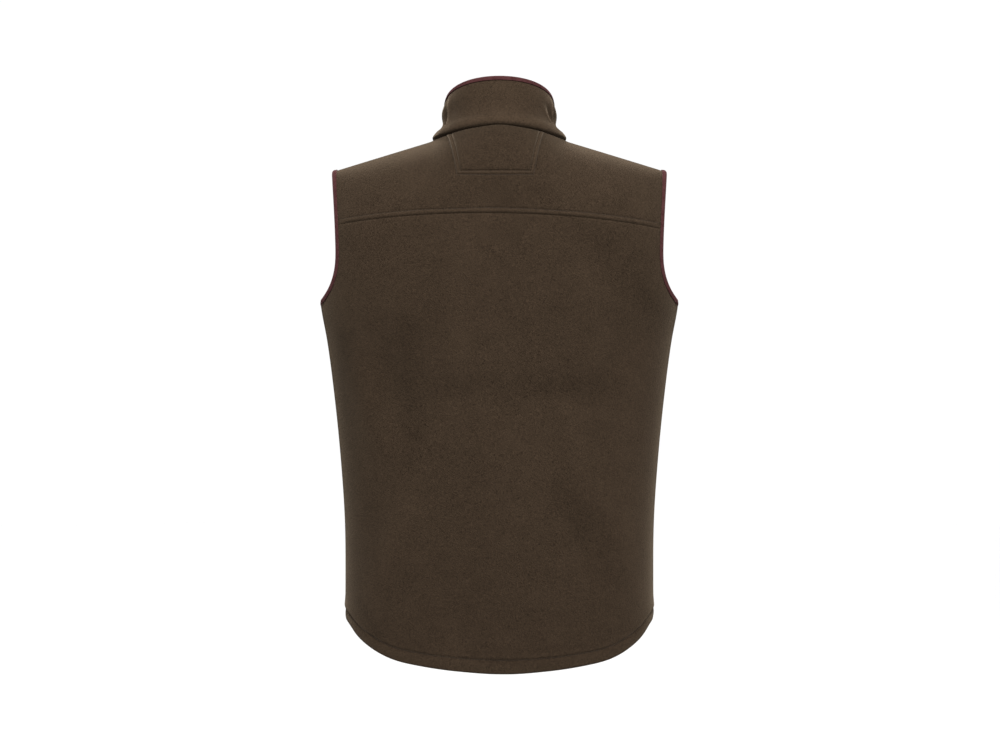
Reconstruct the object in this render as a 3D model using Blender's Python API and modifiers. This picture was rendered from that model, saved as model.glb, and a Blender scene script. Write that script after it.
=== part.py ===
"""A fleece gilet, filled out as if it were worn, with nobody in it.

The origin is at the middle of the neck opening, level with the points where neck and shoulders meet.
+Z is up, the zipped front faces -Y and the wearer's left is +X. Sizes are in metres.
Each cut piece is a wall of cloth, laid through sections of the body form that the sizes below describe.
"""

import math
from collections import namedtuple

import bmesh
import bpy
import numpy as np

# Driving sizes
CLOTH_THICK = 0.0026
SEAM_GAP = 0.0003
SHOULDER_TOP = 0.0243
SHOULDER_FALL = 0.302
NECK_RISE = 0.0205
NECK_RISE_REACH = 0.092
NAPE_SOFT = 0.016
BACK_ROUNDING = 0.11
FRONT_ROUNDING = 0.26
SHOULDER_SEAM_FORWARD = 0.018
NECK_HALF_WIDTH = 0.0862
NECK_BACK = 0.0812
NECK_FRONT = 0.0815
FRONT_EDGE = 0.007
HEM_EXTRA_THICK = 0.0016

# Colours, as the photo shows them, in linear light
FLEECE_COLOUR = (0.053, 0.037, 0.024, 1.0)
BINDING_COLOUR = (0.085, 0.014, 0.022, 1.0)
ZIP_CLOTH_COLOUR = (0.030, 0.022, 0.016, 1.0)
ZIP_METAL_COLOUR = (0.10, 0.085, 0.065, 1.0)

# The body form: half widths and depths of level sections, and how square each one is
Section = namedtuple("Section", "height half_width back_depth front_depth squareness")
SECTIONS = (
    Section(-0.730, 0.2058, 0.127, 0.123, 2.30),
    Section(-0.650, 0.2062, 0.125, 0.122, 2.30),
    Section(-0.590, 0.2056, 0.121, 0.119, 2.30),
    Section(-0.509, 0.2065, 0.115, 0.116, 2.30),
    Section(-0.429, 0.2118, 0.109, 0.114, 2.30),
    Section(-0.348, 0.2198, 0.108, 0.116, 2.30),
    Section(-0.268, 0.2303, 0.113, 0.119, 2.35),
    Section(-0.222, 0.2385, 0.117, 0.119, 2.40),
    Section(-0.150, 0.2400, 0.119, 0.117, 2.40),
    Section(-0.080, 0.2400, 0.119, 0.113, 2.40),
    Section(0.060, 0.2400, 0.118, 0.112, 2.40),
)

# The hem's lower edge, by degrees round from the centre back, and how deep its turning is
HemPoint = namedtuple("HemPoint", "round_deg height turning")
HEM = (
    HemPoint(0, -0.6985, 0.0182),
    HemPoint(12, -0.6955, 0.0180),
    HemPoint(27, -0.6896, 0.0176),
    HemPoint(40, -0.6834, 0.0168),
    HemPoint(55, -0.6689, 0.0164),
    HemPoint(64, -0.6583, 0.0162),
    HemPoint(72, -0.6482, 0.0153),
    HemPoint(90, -0.6393, 0.0145),
    HemPoint(110, -0.6345, 0.0150),
    HemPoint(140, -0.6310, 0.0155),
    HemPoint(180, -0.6300, 0.0160),
)
HEM_TURNED = 0.022

# The armhole: a straighter upper edge over a rounded bottom, as its edge lies on the cloth
ARMHOLE_MIDDLE = -0.154
ARMHOLE_BOTTOM = -0.222
ARMHOLE_EDGE = 0.2110
ARMHOLE_SHOULDER_EDGE = 0.2185
ARMHOLE_REACH = 0.076
ARMHOLE_FRONT_SCOOP = 0.008
ARMHOLE_ROUNDNESS = 2.5

# The yoke seam on the back, lower at the armholes and a little lower on the wearer's right
YOKE_SEAM_HEIGHT = -0.1063
YOKE_SEAM_SAG = 0.0136
YOKE_SEAM_TILT = 0.0028
YOKE_SEAM_HALF = 0.21
TOPSTITCH_AWAY = 0.0065
GROOVE_DEEP = 0.0012
STITCH_DEEP = 0.0007

# The trapezoid panel under the collar
PANEL_BOTTOM = -0.0495
PANEL_HALF_BOTTOM = 0.0447
PANEL_SIDE_SLOPE = 0.235
PANEL_SHIFT = 0.004
PANEL_RISE = 0.062

# How finely the cloth is divided
PANEL_STEPS = 8
NECK_STEPS = 4
RIDGE_SHARES = (1 / 3, 2 / 3, 1)
YOKE_SHARES = (0.10, 0.21, 0.33, 0.46, 0.60, 0.76, 0.93, 1)
FRONT_NECK_SHARES = (0, 0.12, 0.26, 0.42, 0.60, 0.80, 1)

# Soft folds: where each runs, how wide it is from crest to side, and how far it stands out or in
Fold = namedtuple("Fold", "side x_from z_from x_to z_to half_width out")
FOLDS = (
    Fold("back", 0.002, -0.130, 0.004, -0.500, 0.016, -0.0030),
    Fold("back", 0.050, -0.250, 0.046, -0.345, 0.020, 0.0030),
    Fold("back", -0.030, -0.312, -0.150, -0.318, 0.024, -0.0050),
    Fold("back", 0.165, -0.235, 0.115, -0.420, 0.024, -0.0050),
    Fold("back", 0.195, -0.270, 0.150, -0.450, 0.020, 0.0035),
    Fold("back", -0.175, -0.240, -0.125, -0.370, 0.022, -0.0035),
    Fold("back", -0.105, -0.470, -0.115, -0.590, 0.028, -0.0050),
    Fold("back", 0.178, -0.600, 0.100, -0.450, 0.018, 0.0030),
    Fold("back", 0.060, -0.560, 0.075, -0.690, 0.026, -0.0030),
    Fold("front", 0.150, -0.240, 0.090, -0.400, 0.024, -0.0045),
    Fold("front", -0.155, -0.245, -0.100, -0.430, 0.022, -0.0045),
    Fold("front", 0.120, -0.440, 0.135, -0.620, 0.026, -0.0040),
    Fold("front", -0.110, -0.420, -0.140, -0.615, 0.028, 0.0035),
)

# The collar, ring by ring from its seam to its top edge
CollarRing = namedtuple("CollarRing", "side side_height back back_height front front_height back_bend front_bend")
COLLAR = (
    CollarRing(0.0890, -0.0008, 0.0838, 0.0126, 0.0832, -0.0372, 2.6, 1.85),
    CollarRing(0.0903, 0.0026, 0.0852, 0.0162, 0.0838, -0.0335, 2.6, 1.80),
    CollarRing(0.0862, 0.0084, 0.0840, 0.0224, 0.0836, -0.0285, 2.5, 1.70),
    CollarRing(0.0782, 0.0142, 0.0795, 0.0300, 0.0828, -0.0220, 2.1, 1.50),
    CollarRing(0.0757, 0.0200, 0.0762, 0.0410, 0.0815, -0.0090, 1.4, 1.20),
    CollarRing(0.0768, 0.0315, 0.0742, 0.0580, 0.0795, 0.0120, 1.0, 1.00),
    CollarRing(0.0722, 0.0425, 0.0712, 0.0728, 0.0775, 0.0310, 0.78, 1.00),
)
COLLAR_SQUARENESS = 2.05

# Folds where the collar turns to the front, by degrees round from the centre back
CollarFold = namedtuple("CollarFold", "round_deg height lean_deg half_width_deg out")
COLLAR_FOLDS = (
    CollarFold(63, 0.034, -60, 6.0, 0.0010),
    CollarFold(71, 0.030, -30, 6.0, -0.0018),
    CollarFold(-57, 0.030, 260, 6.0, 0.0010),
    CollarFold(-68, 0.026, 260, 6.0, -0.0020),
)

# Binding, folded over the raw edges
BINDING_LAP = 0.0016
BINDING_LOOSE = 0.0007
BINDING_WALL = 0.0011
BINDING_REACH = 0.0058
COLLAR_BINDING_REACH = 0.0042

# Zip
TAPE_THICK = 0.0008
TAPE_INNER = 0.0034
TAPE_OUTER = 0.0175
CHAIN_HALF_WIDTH = 0.0030
CHAIN_FRONT = 0.0012
CHAIN_THICK = 0.0024
CHAIN_STEPS = 30
SLIDER_TOP = 0.0290
SLIDER_TALL = 0.0105
SLIDER_HALF_WIDTH = 0.0044
SLIDER_PROUD = 0.0030
BRIDGE_HALF_WIDTH = 0.0010
BRIDGE_THICK = 0.0009
BRIDGE_ROOM = 0.0021
PULL_LONG = 0.0240
PULL_HALF_WIDTH = 0.0031
PULL_THICK = 0.0012
PULL_WINDOW_HALF = 0.0017
PULL_WINDOW_LONG = 0.0070
BOX_TALL = 0.0090


def smooth_through(places, known, values):
    """Heights of a smooth curve through the known points, at the places asked for."""
    known = np.asarray(known, float)
    values = np.asarray(values, float)
    slopes = np.gradient(values, known)
    places = np.clip(np.asarray(places, float), known[0], known[-1])
    left = np.clip(np.searchsorted(known, places, side="right") - 1, 0, len(known) - 2)
    gap = known[left + 1] - known[left]
    share = (places - known[left]) / gap
    keep = (1 + 2 * share) * (1 - share) ** 2
    lead = share * (1 - share) ** 2 * gap * slopes[left]
    lag = share**2 * (share - 1) * gap * slopes[left + 1]
    return keep * values[left] + lead + (1 - keep) * values[left + 1] + lag


def column(table, name):
    return [getattr(row, name) for row in table]


def section_value(name, height):
    return smooth_through(height, column(SECTIONS, "height"), column(SECTIONS, name))


def hem_value(name, round_angle):
    """A column of the hem's table at an angle from the centre back, in radians."""
    turned = np.abs(round_angle + HEM_TURNED * np.maximum(np.cos(round_angle), 0))
    return smooth_through(np.degrees(turned), column(HEM, "round_deg"), column(HEM, name))


def shoulder_height(x):
    """The height of the shoulder's ridge, with the rise towards the neck."""
    near = np.clip(x / NECK_RISE_REACH, -1, 1) ** 2
    aside = np.where(np.abs(x) < NAPE_SOFT, (x**2 / NAPE_SOFT + NAPE_SOFT) / 2, np.abs(x))
    return SHOULDER_TOP - SHOULDER_FALL * aside + NECK_RISE * (1 - near) ** 2 * (1 + 2 * near)


def full_depth(x, height, back):
    """How far the form stands from the side plane, before the shoulders close over it."""
    depth = np.where(back, section_value("back_depth", height), section_value("front_depth", height))
    power = section_value("squareness", height)
    share = np.clip(np.abs(x) / section_value("half_width", height), 0, 1)
    return depth * (1 - share**power) ** (1 / power)


def rounding(back):
    return np.where(back, BACK_ROUNDING, FRONT_ROUNDING)


def fold_value(x, height, back):
    """How far the soft folds move the cloth out at these places."""
    total = np.zeros(np.broadcast(x, height).shape)
    for fold in FOLDS:
        run = np.array([fold.x_to - fold.x_from, fold.z_to - fold.z_from])
        long = math.hypot(*run)
        run = run / long
        along = ((x - fold.x_from) * run[0] + (height - fold.z_from) * run[1]) / long
        across = (x - fold.x_from) * run[1] - (height - fold.z_from) * run[0]
        ends = np.clip(1 - (2 * along - 1) ** 4, 0, 1)
        bump = fold.out * ends * np.exp(-((across / fold.half_width) ** 2))
        total = total + np.where(back == (fold.side == "back"), bump, 0)
    return total


def at_height(round_angle, height):
    """A point of the form, by its angle round from the centre back and its height."""
    back = np.cos(round_angle) >= 0
    power = section_value("squareness", height)
    x = section_value("half_width", height) * np.abs(np.sin(round_angle)) ** (2 / power)
    x = x * np.sign(np.sin(round_angle))
    drop = np.clip((shoulder_height(x) - height) / rounding(back), 0, 1)
    closing = np.sqrt(1 - (1 - drop) ** 2)
    y = full_depth(x, height, back) * closing * np.where(back, 1, -1)
    return np.stack(np.broadcast_arrays(x, y, height), axis=-1)


def over_shoulder(x, over):
    """A point of the form, by its x and its way over the shoulder: above 0 behind the ridge, below 0 before it."""
    back = np.asarray(over) >= 0
    turn = np.abs(over) / rounding(back)
    drop = np.where(turn < math.pi / 2, 1 - np.cos(np.minimum(turn, math.pi / 2)), 1 + turn - math.pi / 2)
    height = shoulder_height(x) - drop * rounding(back)
    closing = np.sin(np.minimum(turn, math.pi / 2))
    y = full_depth(x, height, back) * closing * np.where(back, 1, -1)
    return np.stack(np.broadcast_arrays(x, y, height), axis=-1)


def way_over(x, height, back):
    """The way over the shoulder that brings a point at x to this height."""
    size = float(rounding(back))
    drop = np.maximum(shoulder_height(x) - height, 0) / size
    way = size * np.where(drop < 1, np.arccos(1 - np.minimum(drop, 1)), math.pi / 2 + drop - 1)
    return way if back else -way


def unit(vectors):
    return vectors / np.linalg.norm(vectors, axis=-1, keepdims=True)


def skin_at_height(round_angle, height):
    """Points and outward directions of the cloth's outer face, by angle and height."""
    step = 1e-3
    up = at_height(round_angle, height + step) - at_height(round_angle, height - step)
    forward = at_height(round_angle + step, height) - at_height(round_angle - step, height)
    out = unit(np.cross(up, forward))
    points = at_height(round_angle, height)
    back = np.cos(round_angle) >= 0
    return points + out * fold_value(points[..., 0], points[..., 2], back)[..., None], out


def skin_over_shoulder(x, over):
    """Points and outward directions of the cloth's outer face, by x and the way over the shoulder."""
    step = 1e-3
    forward = over_shoulder(x, over - step) - over_shoulder(x, over + step)
    leftward = over_shoulder(x + step, over) - over_shoulder(x - step, over)
    out = unit(np.cross(forward, leftward))
    points = over_shoulder(x, over)
    back = np.asarray(over) >= 0
    return points + out * fold_value(points[..., 0], points[..., 2], back)[..., None], out


def angle_of_x(x, height):
    """The angle round from the centre back at which the form reaches this x."""
    share = np.clip(x / section_value("half_width", height), 0, 1)
    return np.arcsin(share ** (section_value("squareness", height) / 2))


def armhole_x(height, back):
    """The x of the armhole's edge on its straighter upper part."""
    low = ARMHOLE_EDGE if back else ARMHOLE_EDGE - ARMHOLE_FRONT_SCOOP
    rise = np.clip((height - ARMHOLE_MIDDLE) / 0.11, 0, 1)
    return low + (ARMHOLE_SHOULDER_EDGE - low) * rise**1.5


def armhole_side(height, back):
    """How far round from the side seam the armhole's upper edge is, at one height."""
    return math.pi / 2 - float(angle_of_x(armhole_x(height, back), height))


def armhole_bottom(turn_deg, back):
    """The same on its rounded bottom, with the height there: 0 at the side seam, 90 where the upper edge starts."""
    turn = math.radians(turn_deg)
    power = 2 / ARMHOLE_ROUNDNESS
    height = ARMHOLE_MIDDLE - (ARMHOLE_MIDDLE - ARMHOLE_BOTTOM) * abs(math.cos(turn)) ** power
    angles = np.linspace(0, armhole_side(ARMHOLE_MIDDLE, back), 60)
    ring = at_height(math.pi / 2 - angles, np.full(60, ARMHOLE_MIDDLE))
    far = np.concatenate([[0], np.cumsum(np.linalg.norm(np.diff(ring, axis=0), axis=1))])
    return float(np.interp(math.sin(turn) ** power * far[-1], far, angles)), height


def armhole_down(top, back):
    """Places down the armhole's edge to the side seam: how far round from the seam, and the height."""
    upper = [top, (top + ARMHOLE_MIDDLE) / 2]
    turns = (90, 70, 52, 36, 24, 12, 0)
    return [(armhole_side(height, back), height) for height in upper] + [armhole_bottom(turn, back) for turn in turns]


def dip_to_armhole(across):
    """Rows of a panel dip by this share before they rise to the armhole's edge, so that they meet it squarely."""
    share = np.abs(across)
    return share**4 * (1 - share) / 0.082


def yoke_seam(x):
    return YOKE_SEAM_HEIGHT - YOKE_SEAM_SAG * (x / YOKE_SEAM_HALF) ** 2 + YOKE_SEAM_TILT * x / YOKE_SEAM_HALF


def neck_edge(round_angle, smaller=0.0):
    """x and the way over the shoulder of the neckline, by its angle round from the centre back."""
    x = (NECK_HALF_WIDTH - smaller) * np.sin(round_angle)
    back = np.cos(round_angle) >= 0
    y = np.where(back, NECK_BACK - smaller, NECK_FRONT - smaller) * np.abs(np.cos(round_angle))
    over = y
    for _ in range(6):
        height = over_shoulder(x, np.where(back, over, -over))[..., 2]
        over = rounding(back) * np.arcsin(np.clip(y / full_depth(x, height, back), 0, 1))
    return x, np.where(back, over, -over)


def neck_corner():
    """The angle round from the centre back where the shoulder seam meets the neckline."""
    corner = math.pi / 2
    for _ in range(12):
        corner += (float(neck_edge(np.array(corner))[1]) + SHOULDER_SEAM_FORWARD) / 0.22
    return corner


def neck_turns():
    """Angles of the places along the neckline: over the yoke from right to left, and down the left front."""
    inside = PANEL_SHIFT + neck_panel_half() * np.linspace(-1, 1, PANEL_STEPS + 1)
    ridge = neck_panel_half() + TOPSTITCH_AWAY * np.array(RIDGE_SHARES)
    middle = np.concatenate([PANEL_SHIFT - ridge[::-1], inside, PANEL_SHIFT + ridge])
    middle = np.arcsin(middle / NECK_HALF_WIDTH)
    corner = neck_corner()
    shares = np.arange(1, NECK_STEPS + 1) / NECK_STEPS
    left = middle[-1] + (corner - middle[-1]) * shares
    right = middle[0] - (corner + middle[0]) * shares[::-1]
    first = math.pi - math.asin(FRONT_EDGE / NECK_HALF_WIDTH)
    front = first + (corner - first) * np.array(FRONT_NECK_SHARES)
    return np.concatenate([right, middle, left]), front


def neck_panel_half():
    return PANEL_HALF_BOTTOM + PANEL_SIDE_SLOPE * PANEL_RISE


def new_material(name, colour, roughness, metallic=0.0):
    material = bpy.data.materials.new(name)
    material.use_nodes = True
    shader = material.node_tree.nodes["Principled BSDF"]
    shader.inputs["Base Color"].default_value = colour
    shader.inputs["Roughness"].default_value = roughness
    shader.inputs["Metallic"].default_value = metallic
    return material


def new_object(name, points, faces, material, collection, smooth=True):
    mesh = bpy.data.meshes.new(name)
    mesh.from_pydata([tuple(map(float, point)) for point in points], [], faces)
    shape = bmesh.new()
    shape.from_mesh(mesh)
    bmesh.ops.recalc_face_normals(shape, faces=shape.faces)
    if shape.calc_volume(signed=True) < 0:
        bmesh.ops.reverse_faces(shape, faces=shape.faces)
    shape.to_mesh(mesh)
    shape.free()
    if smooth:
        mesh.shade_smooth()
        mesh.set_sharp_from_angle(angle=math.radians(50))
    mesh.materials.append(material)
    piece = bpy.data.objects.new(name, mesh)
    collection.objects.link(piece)
    return piece


def grid_faces(rows, columns, start, turned, closed=False):
    """Four-sided faces over a grid of points, numbered from start."""
    faces = []
    for row in range(rows - 1):
        for place in range(columns if closed else columns - 1):
            beside = (place + 1) % columns
            corners = [
                start + row * columns + place,
                start + row * columns + beside,
                start + (row + 1) * columns + beside,
                start + (row + 1) * columns + place,
            ]
            faces.append(corners[::-1] if turned else corners)
    return faces


def cloth_wall(name, outer, inner, material, collection, leave_out=None):
    """A wall of cloth between an outer and an inner grid of points, open where leave_out says."""
    rows, columns = outer.shape[:2]
    count = rows * columns
    faces = grid_faces(rows, columns, 0, False)
    if leave_out is not None:
        faces = [face for face in faces if not leave_out(*divmod(min(face), columns))]
    edges = {}
    for face in faces:
        for first, second in zip(face, face[1:] + face[:1]):
            edges[(first, second)] = (second, first) in edges
            if edges[(first, second)]:
                edges[(second, first)] = True
    rim = [
        [second, first, first + count, second + count]
        for (first, second), shared in edges.items()
        if not shared
    ]
    inside = [[corner + count for corner in reversed(face)] for face in faces]
    points = np.concatenate([outer.reshape(-1, 3), inner.reshape(-1, 3)])
    used = sorted({corner for face in faces + rim + inside for corner in face})
    renumber = {old: new for new, old in enumerate(used)}
    all_faces = [[renumber[corner] for corner in face] for face in faces + inside + rim]
    return new_object(name, points[used], all_faces, material, collection)


def swept_band(name, rings, material, collection, closed):
    """A band through like rings of points, joined end to end or capped."""
    stations, around = rings.shape[:2]
    points = rings.reshape(-1, 3)
    faces = grid_faces(stations, around, 0, False, closed=True)
    if closed:
        last = (stations - 1) * around
        for place in range(around):
            beside = (place + 1) % around
            faces.append([last + place, last + beside, beside, place])
    else:
        faces.append(list(range(around))[::-1])
        faces.append([(stations - 1) * around + place for place in range(around)])
    return new_object(name, points, faces, material, collection)


def groove(distance, half_width, deep):
    """A soft groove: full depth on its line, nothing past its half width."""
    share = np.clip(np.abs(distance) / half_width, 0, 1)
    return -deep * (1 - share) ** 2 * (1 + 2 * share)


def fade_to_edge(across):
    """1 over a panel, falling to 0 at its side edges, so that relief dies out under the binding."""
    return np.clip((1 - np.abs(across)) * 9, 0, 1)


def facing(points, out):
    """Directions off the flat faces that meet at each point of a grid, on the side that out is on."""
    faces = unit(np.cross(points[1:, 1:] - points[:-1, :-1], points[:-1, 1:] - points[1:, :-1]))
    total = np.zeros(points.shape)
    for rows in (slice(1, None), slice(None, -1)):
        for places in (slice(1, None), slice(None, -1)):
            total[rows, places] += faces
    return unit(total) * np.sign((total * out).sum(axis=-1, keepdims=True))


def both_faces(outer, inner):
    """A wall's outer and inner points with the directions off its flat faces, for what is made from them."""
    out = outer - inner
    return np.stack([outer, inner, facing(outer, out), facing(inner, out)])


def make_back_body(material, collection):
    """The lower back: from the yoke seam to the dropped hem, between the side seams and the armholes."""
    across = np.sin(np.linspace(-1, 1, 31) * 0.97) / math.sin(0.97)
    left = across >= 0
    gap = SEAM_GAP / 2
    heights, angles = [], []
    top = {side: float(yoke_seam(side * 0.2125)) - gap for side in (1, -1)}
    edges = {side: armhole_down(top[side], True) for side in (1, -1)}
    last = len(edges[1]) - 1
    for row in range(last + 1):
        share = row / last
        edge_turn = np.where(left, edges[1][row][0], edges[-1][row][0])
        edge_height = np.where(left, edges[1][row][1], edges[-1][row][1])
        turn = across * (math.pi / 2 - edge_turn)
        centre = YOKE_SEAM_HEIGHT + (-0.212 - YOKE_SEAM_HEIGHT) * share
        height = centre + (edge_height - centre) * across**2 - 0.015 * share**2 * dip_to_armhole(across)
        if row == 0:
            for _ in range(4):
                height = yoke_seam(at_height(turn, height)[..., 0]) - gap
            seam_row = height
        heights.append(height)
        angles.append(turn)
    underarm_row = heights[-1]
    side = math.pi / 2 - gap / 0.2
    body_angle = across * side
    hem_row = hem_value("height", body_angle)
    fold_row = hem_row + hem_value("turning", body_angle)
    for share in np.linspace(0, 1, 15)[1:-1]:
        heights.append(underarm_row * (1 - share) + (fold_row + 0.004) * share)
        angles.append(body_angle)
    for row in (fold_row + 0.004, fold_row, fold_row - 0.004, (fold_row + hem_row) / 2, hem_row):
        heights.append(row)
        angles.append(body_angle)
    heights, angles = np.array(heights), np.clip(np.array(angles), -side, side)
    points, out = skin_at_height(angles, heights)
    relief = groove(heights - fold_row, 0.004, 0.0016)
    relief += groove(heights - seam_row, 0.006, GROOVE_DEEP) * fade_to_edge(across)
    thick = CLOTH_THICK + HEM_EXTRA_THICK * (heights < fold_row - 0.001)
    outer, inner = points + out * relief[..., None], points - out * thick[..., None]
    cloth_wall("back_body", outer, inner, material, collection)
    return both_faces(outer, inner)[:, : last + 1]


def make_back_yoke(material, panel_material, collection):
    """The yoke, from its seam over the shoulders, with the gap that the neck panel fills, and that panel."""
    gap = SEAM_GAP / 2
    turns = neck_turns()[0]
    start = len(YOKE_SHARES) + len(RIDGE_SHARES)
    count = 2 * start + PANEL_STEPS + 1

    def row_of_x(panel_half, edge):
        """x across a row: the panel, the ridge on each side of it, then on to the armholes."""
        sides = []
        for side in (-1, 1):
            ridge = panel_half + TOPSTITCH_AWAY * np.array(RIDGE_SHARES)
            far = ridge[-1] + (edge - side * PANEL_SHIFT - ridge[-1]) * np.array(YOKE_SHARES)
            sides.append(PANEL_SHIFT + side * np.concatenate([ridge, far]))
        inside = PANEL_SHIFT + panel_half * np.linspace(-1, 1, PANEL_STEPS + 1)
        return np.concatenate([sides[0][::-1], inside, sides[1]])

    # The lowest row follows the seam, the middle one the panel's bottom, the top one the neckline and shoulder seams.
    seam_x = row_of_x(PANEL_HALF_BOTTOM - 0.012, 0.2125)
    seam_x[0] = -float(armhole_x(yoke_seam(-0.2125), True))
    seam_x[-1] = float(armhole_x(yoke_seam(0.2125), True))
    seam_over = way_over(seam_x, yoke_seam(seam_x) + gap, True)
    panel_x = row_of_x(PANEL_HALF_BOTTOM, 0.2165)
    outward = np.clip((np.abs(panel_x) - 0.05) / 0.165, 0, 1)
    panel_over = way_over(panel_x, PANEL_BOTTOM - 0.030 * outward**1.5, True)
    neck_x, neck_over = neck_edge(turns)
    forward = -SHOULDER_SEAM_FORWARD + gap
    neck_over[[0, -1]] = forward
    beyond = (count - len(turns)) // 2
    run_out = neck_x[-1] + (ARMHOLE_SHOULDER_EDGE - neck_x[-1]) * np.arange(1, beyond + 1) / beyond
    top_x = np.concatenate([-run_out[::-1], neck_x, run_out])
    top_over = np.concatenate([np.full(beyond, forward), neck_over, np.full(beyond, forward)])

    stitch_share = TOPSTITCH_AWAY / (seam_over - panel_over)
    xs, overs = [], []
    for share in (0, 0.5, 1):
        overs.append(seam_over - TOPSTITCH_AWAY * share)
        xs.append(seam_x + (panel_x - seam_x) * stitch_share * share)
    for share in (0.28, 0.64):
        overs.append(overs[2] + (panel_over + TOPSTITCH_AWAY - overs[2]) * share)
        xs.append(xs[2] + (panel_x - seam_x) * (1 - 2 * stitch_share) * share)
    for share in (1, 0.5, 0):
        overs.append(panel_over + TOPSTITCH_AWAY * share)
        xs.append(panel_x - (panel_x - seam_x) * stitch_share * share)
    panel_row = len(xs) - 1
    for share in (0.22, 0.43, 0.63, 0.82, 1):
        overs.append(panel_over + (top_over - panel_over) * share)
        xs.append(panel_x + (top_x - panel_x) * share)
    xs, overs = np.array(xs), np.array(overs)

    # The side columns follow the armhole's edge.
    for row in range(1, len(xs)):
        for side, end in ((-1, 0), (1, count - 1)):
            for _ in range(3):
                height = over_shoulder(xs[row, end], overs[row, end])[2]
                move = side * armhole_x(height, True) - xs[row, end]
                share = np.clip((side * xs[row] - 0.12) / (abs(xs[row, end]) - 0.12), 0, 1)
                xs[row] = xs[row] + move * share

    points, out = skin_over_shoulder(xs, overs)
    across = xs / np.abs(xs[:, -1:])
    relief = np.zeros(xs.shape)
    relief[0] = -GROOVE_DEEP
    relief[2] = -STITCH_DEEP
    relief *= fade_to_edge(across)
    first, last = start - len(RIDGE_SHARES), start + PANEL_STEPS + len(RIDGE_SHARES)
    relief[panel_row - 2, first : last + 1] = -STITCH_DEEP
    relief[panel_row - 2 : -1, [first, last]] = -STITCH_DEEP
    outer = points + out * relief[..., None]
    inner = points - out * CLOTH_THICK

    def panel_gap(row, place):
        return row >= panel_row and start <= place < start + PANEL_STEPS

    cloth_wall("back_yoke", outer, inner, material, collection, leave_out=panel_gap)

    # The panel is made from the yoke's own points, drawn in by the seam's gap.
    panel_overs = overs[panel_row:, start : start + PANEL_STEPS + 1].copy()
    panel_xs = xs[panel_row:, start : start + PANEL_STEPS + 1].copy()
    panel_overs[0] -= SEAM_GAP
    panel_xs[:, 0] += SEAM_GAP * 1.05
    panel_xs[:, -1] -= SEAM_GAP * 1.05
    panel_points, panel_out = skin_over_shoulder(panel_xs, panel_overs)
    panel_inner = panel_points - panel_out * CLOTH_THICK
    cloth_wall("neck_panel", panel_points, panel_inner, panel_material, collection)
    return both_faces(outer, inner)


def make_front(side, material, collection):
    """One front: from the hem, beside the side seam and the zip, up the armhole to the shoulder seam."""
    gap = SEAM_GAP / 2
    across = 1 - (1 - np.linspace(0, 1, 15)) ** 1.35
    front_turns = neck_turns()[1]
    neck_x, neck_over = neck_edge(front_turns)
    throat = float(over_shoulder(neck_x[0], neck_over[0])[2])
    side_angle = math.pi / 2 + gap / 0.2
    points, out = [], []

    def add_by_height(heights, edge_angle):
        zip_angle = math.pi - angle_of_x(FRONT_EDGE, heights[0])
        row_points, row_out = skin_at_height(side * (zip_angle + (edge_angle - zip_angle) * across), heights)
        points.append(row_points)
        out.append(row_out)

    body_angles = math.pi - (math.pi - side_angle) * across
    hem_row = hem_value("height", body_angles)
    fold_row = hem_row + hem_value("turning", body_angles)
    for row in (hem_row, (hem_row + fold_row) / 2, fold_row - 0.004, fold_row, fold_row + 0.004):
        add_by_height(row, side_angle)
    dip = 0.015 * dip_to_armhole(across)
    underarm_row = -0.200 + (ARMHOLE_BOTTOM + 0.200) * across**1.5 - dip
    for share in np.linspace(0, 1, 14)[1:]:
        add_by_height((fold_row + 0.004) * (1 - share) + underarm_row * share, side_angle)
    underarm = len(points) - 1
    edges = armhole_down(-0.105, False)[-2:0:-1]
    for number, (edge_turn, edge_height) in enumerate(edges):
        up = (number + 1) / (len(edges) + 1)
        start = -0.200 + (throat + 0.200) * up
        row = start + (edge_height - start) * across ** (1.5 - 0.6 * up) - dip * (1 - up) ** 2
        add_by_height(row, math.pi / 2 + edge_turn)
    joint = len(points)
    last = -SHOULDER_SEAM_FORWARD - gap
    low_over = float(way_over(armhole_x(-0.105, False), -0.105, False))
    for share, start_x, start_over in zip(FRONT_NECK_SHARES, neck_x, neck_over):
        edge_over = low_over + (last - low_over) * share
        edge_x = 0.215
        for _ in range(4):
            edge_x = float(armhole_x(over_shoulder(edge_x, edge_over)[2], False))
        if share == 1:
            start_over = last
        row_over = start_over + (edge_over - start_over) * across
        row_points, row_out = skin_over_shoulder(side * (start_x + (edge_x - start_x) * across), row_over)
        points.append(row_points)
        out.append(row_out)
    points, out = np.array(points), np.array(out)
    relief = np.zeros(points.shape[:2])
    relief[3] = -0.0016
    thick = np.full(points.shape[:2], CLOTH_THICK)
    thick[:3, 2:] += HEM_EXTRA_THICK
    name = "front_left" if side > 0 else "front_right"
    outer, inner = points + out * relief[..., None], points - out * thick[..., None]
    cloth_wall(name, outer, inner, material, collection)
    faces = both_faces(outer, inner)
    return faces[:, underarm:], faces[:, : joint + 1, :2]


def collar_point(level, round_angle):
    """A point of the collar's outer face: level counts its rings, the angle is from the centre back."""
    levels = np.arange(len(COLLAR))

    def at(name):
        return smooth_through(level, levels, column(COLLAR, name))

    cos, sin = np.cos(round_angle), np.sin(round_angle)
    power = 2 / COLLAR_SQUARENESS
    x = at("side") * np.sign(sin) * np.abs(sin) ** power
    reach = np.where(cos >= 0, at("back"), at("front"))
    y = reach * np.sign(cos) * np.abs(cos) ** power
    end = np.where(cos >= 0, at("back_height"), at("front_height"))
    bend = np.where(cos >= 0, at("back_bend"), at("front_bend"))
    height = at("side_height") + (end - at("side_height")) * np.abs(cos) ** bend
    return np.stack(np.broadcast_arrays(x, y, height), axis=-1)


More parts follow.
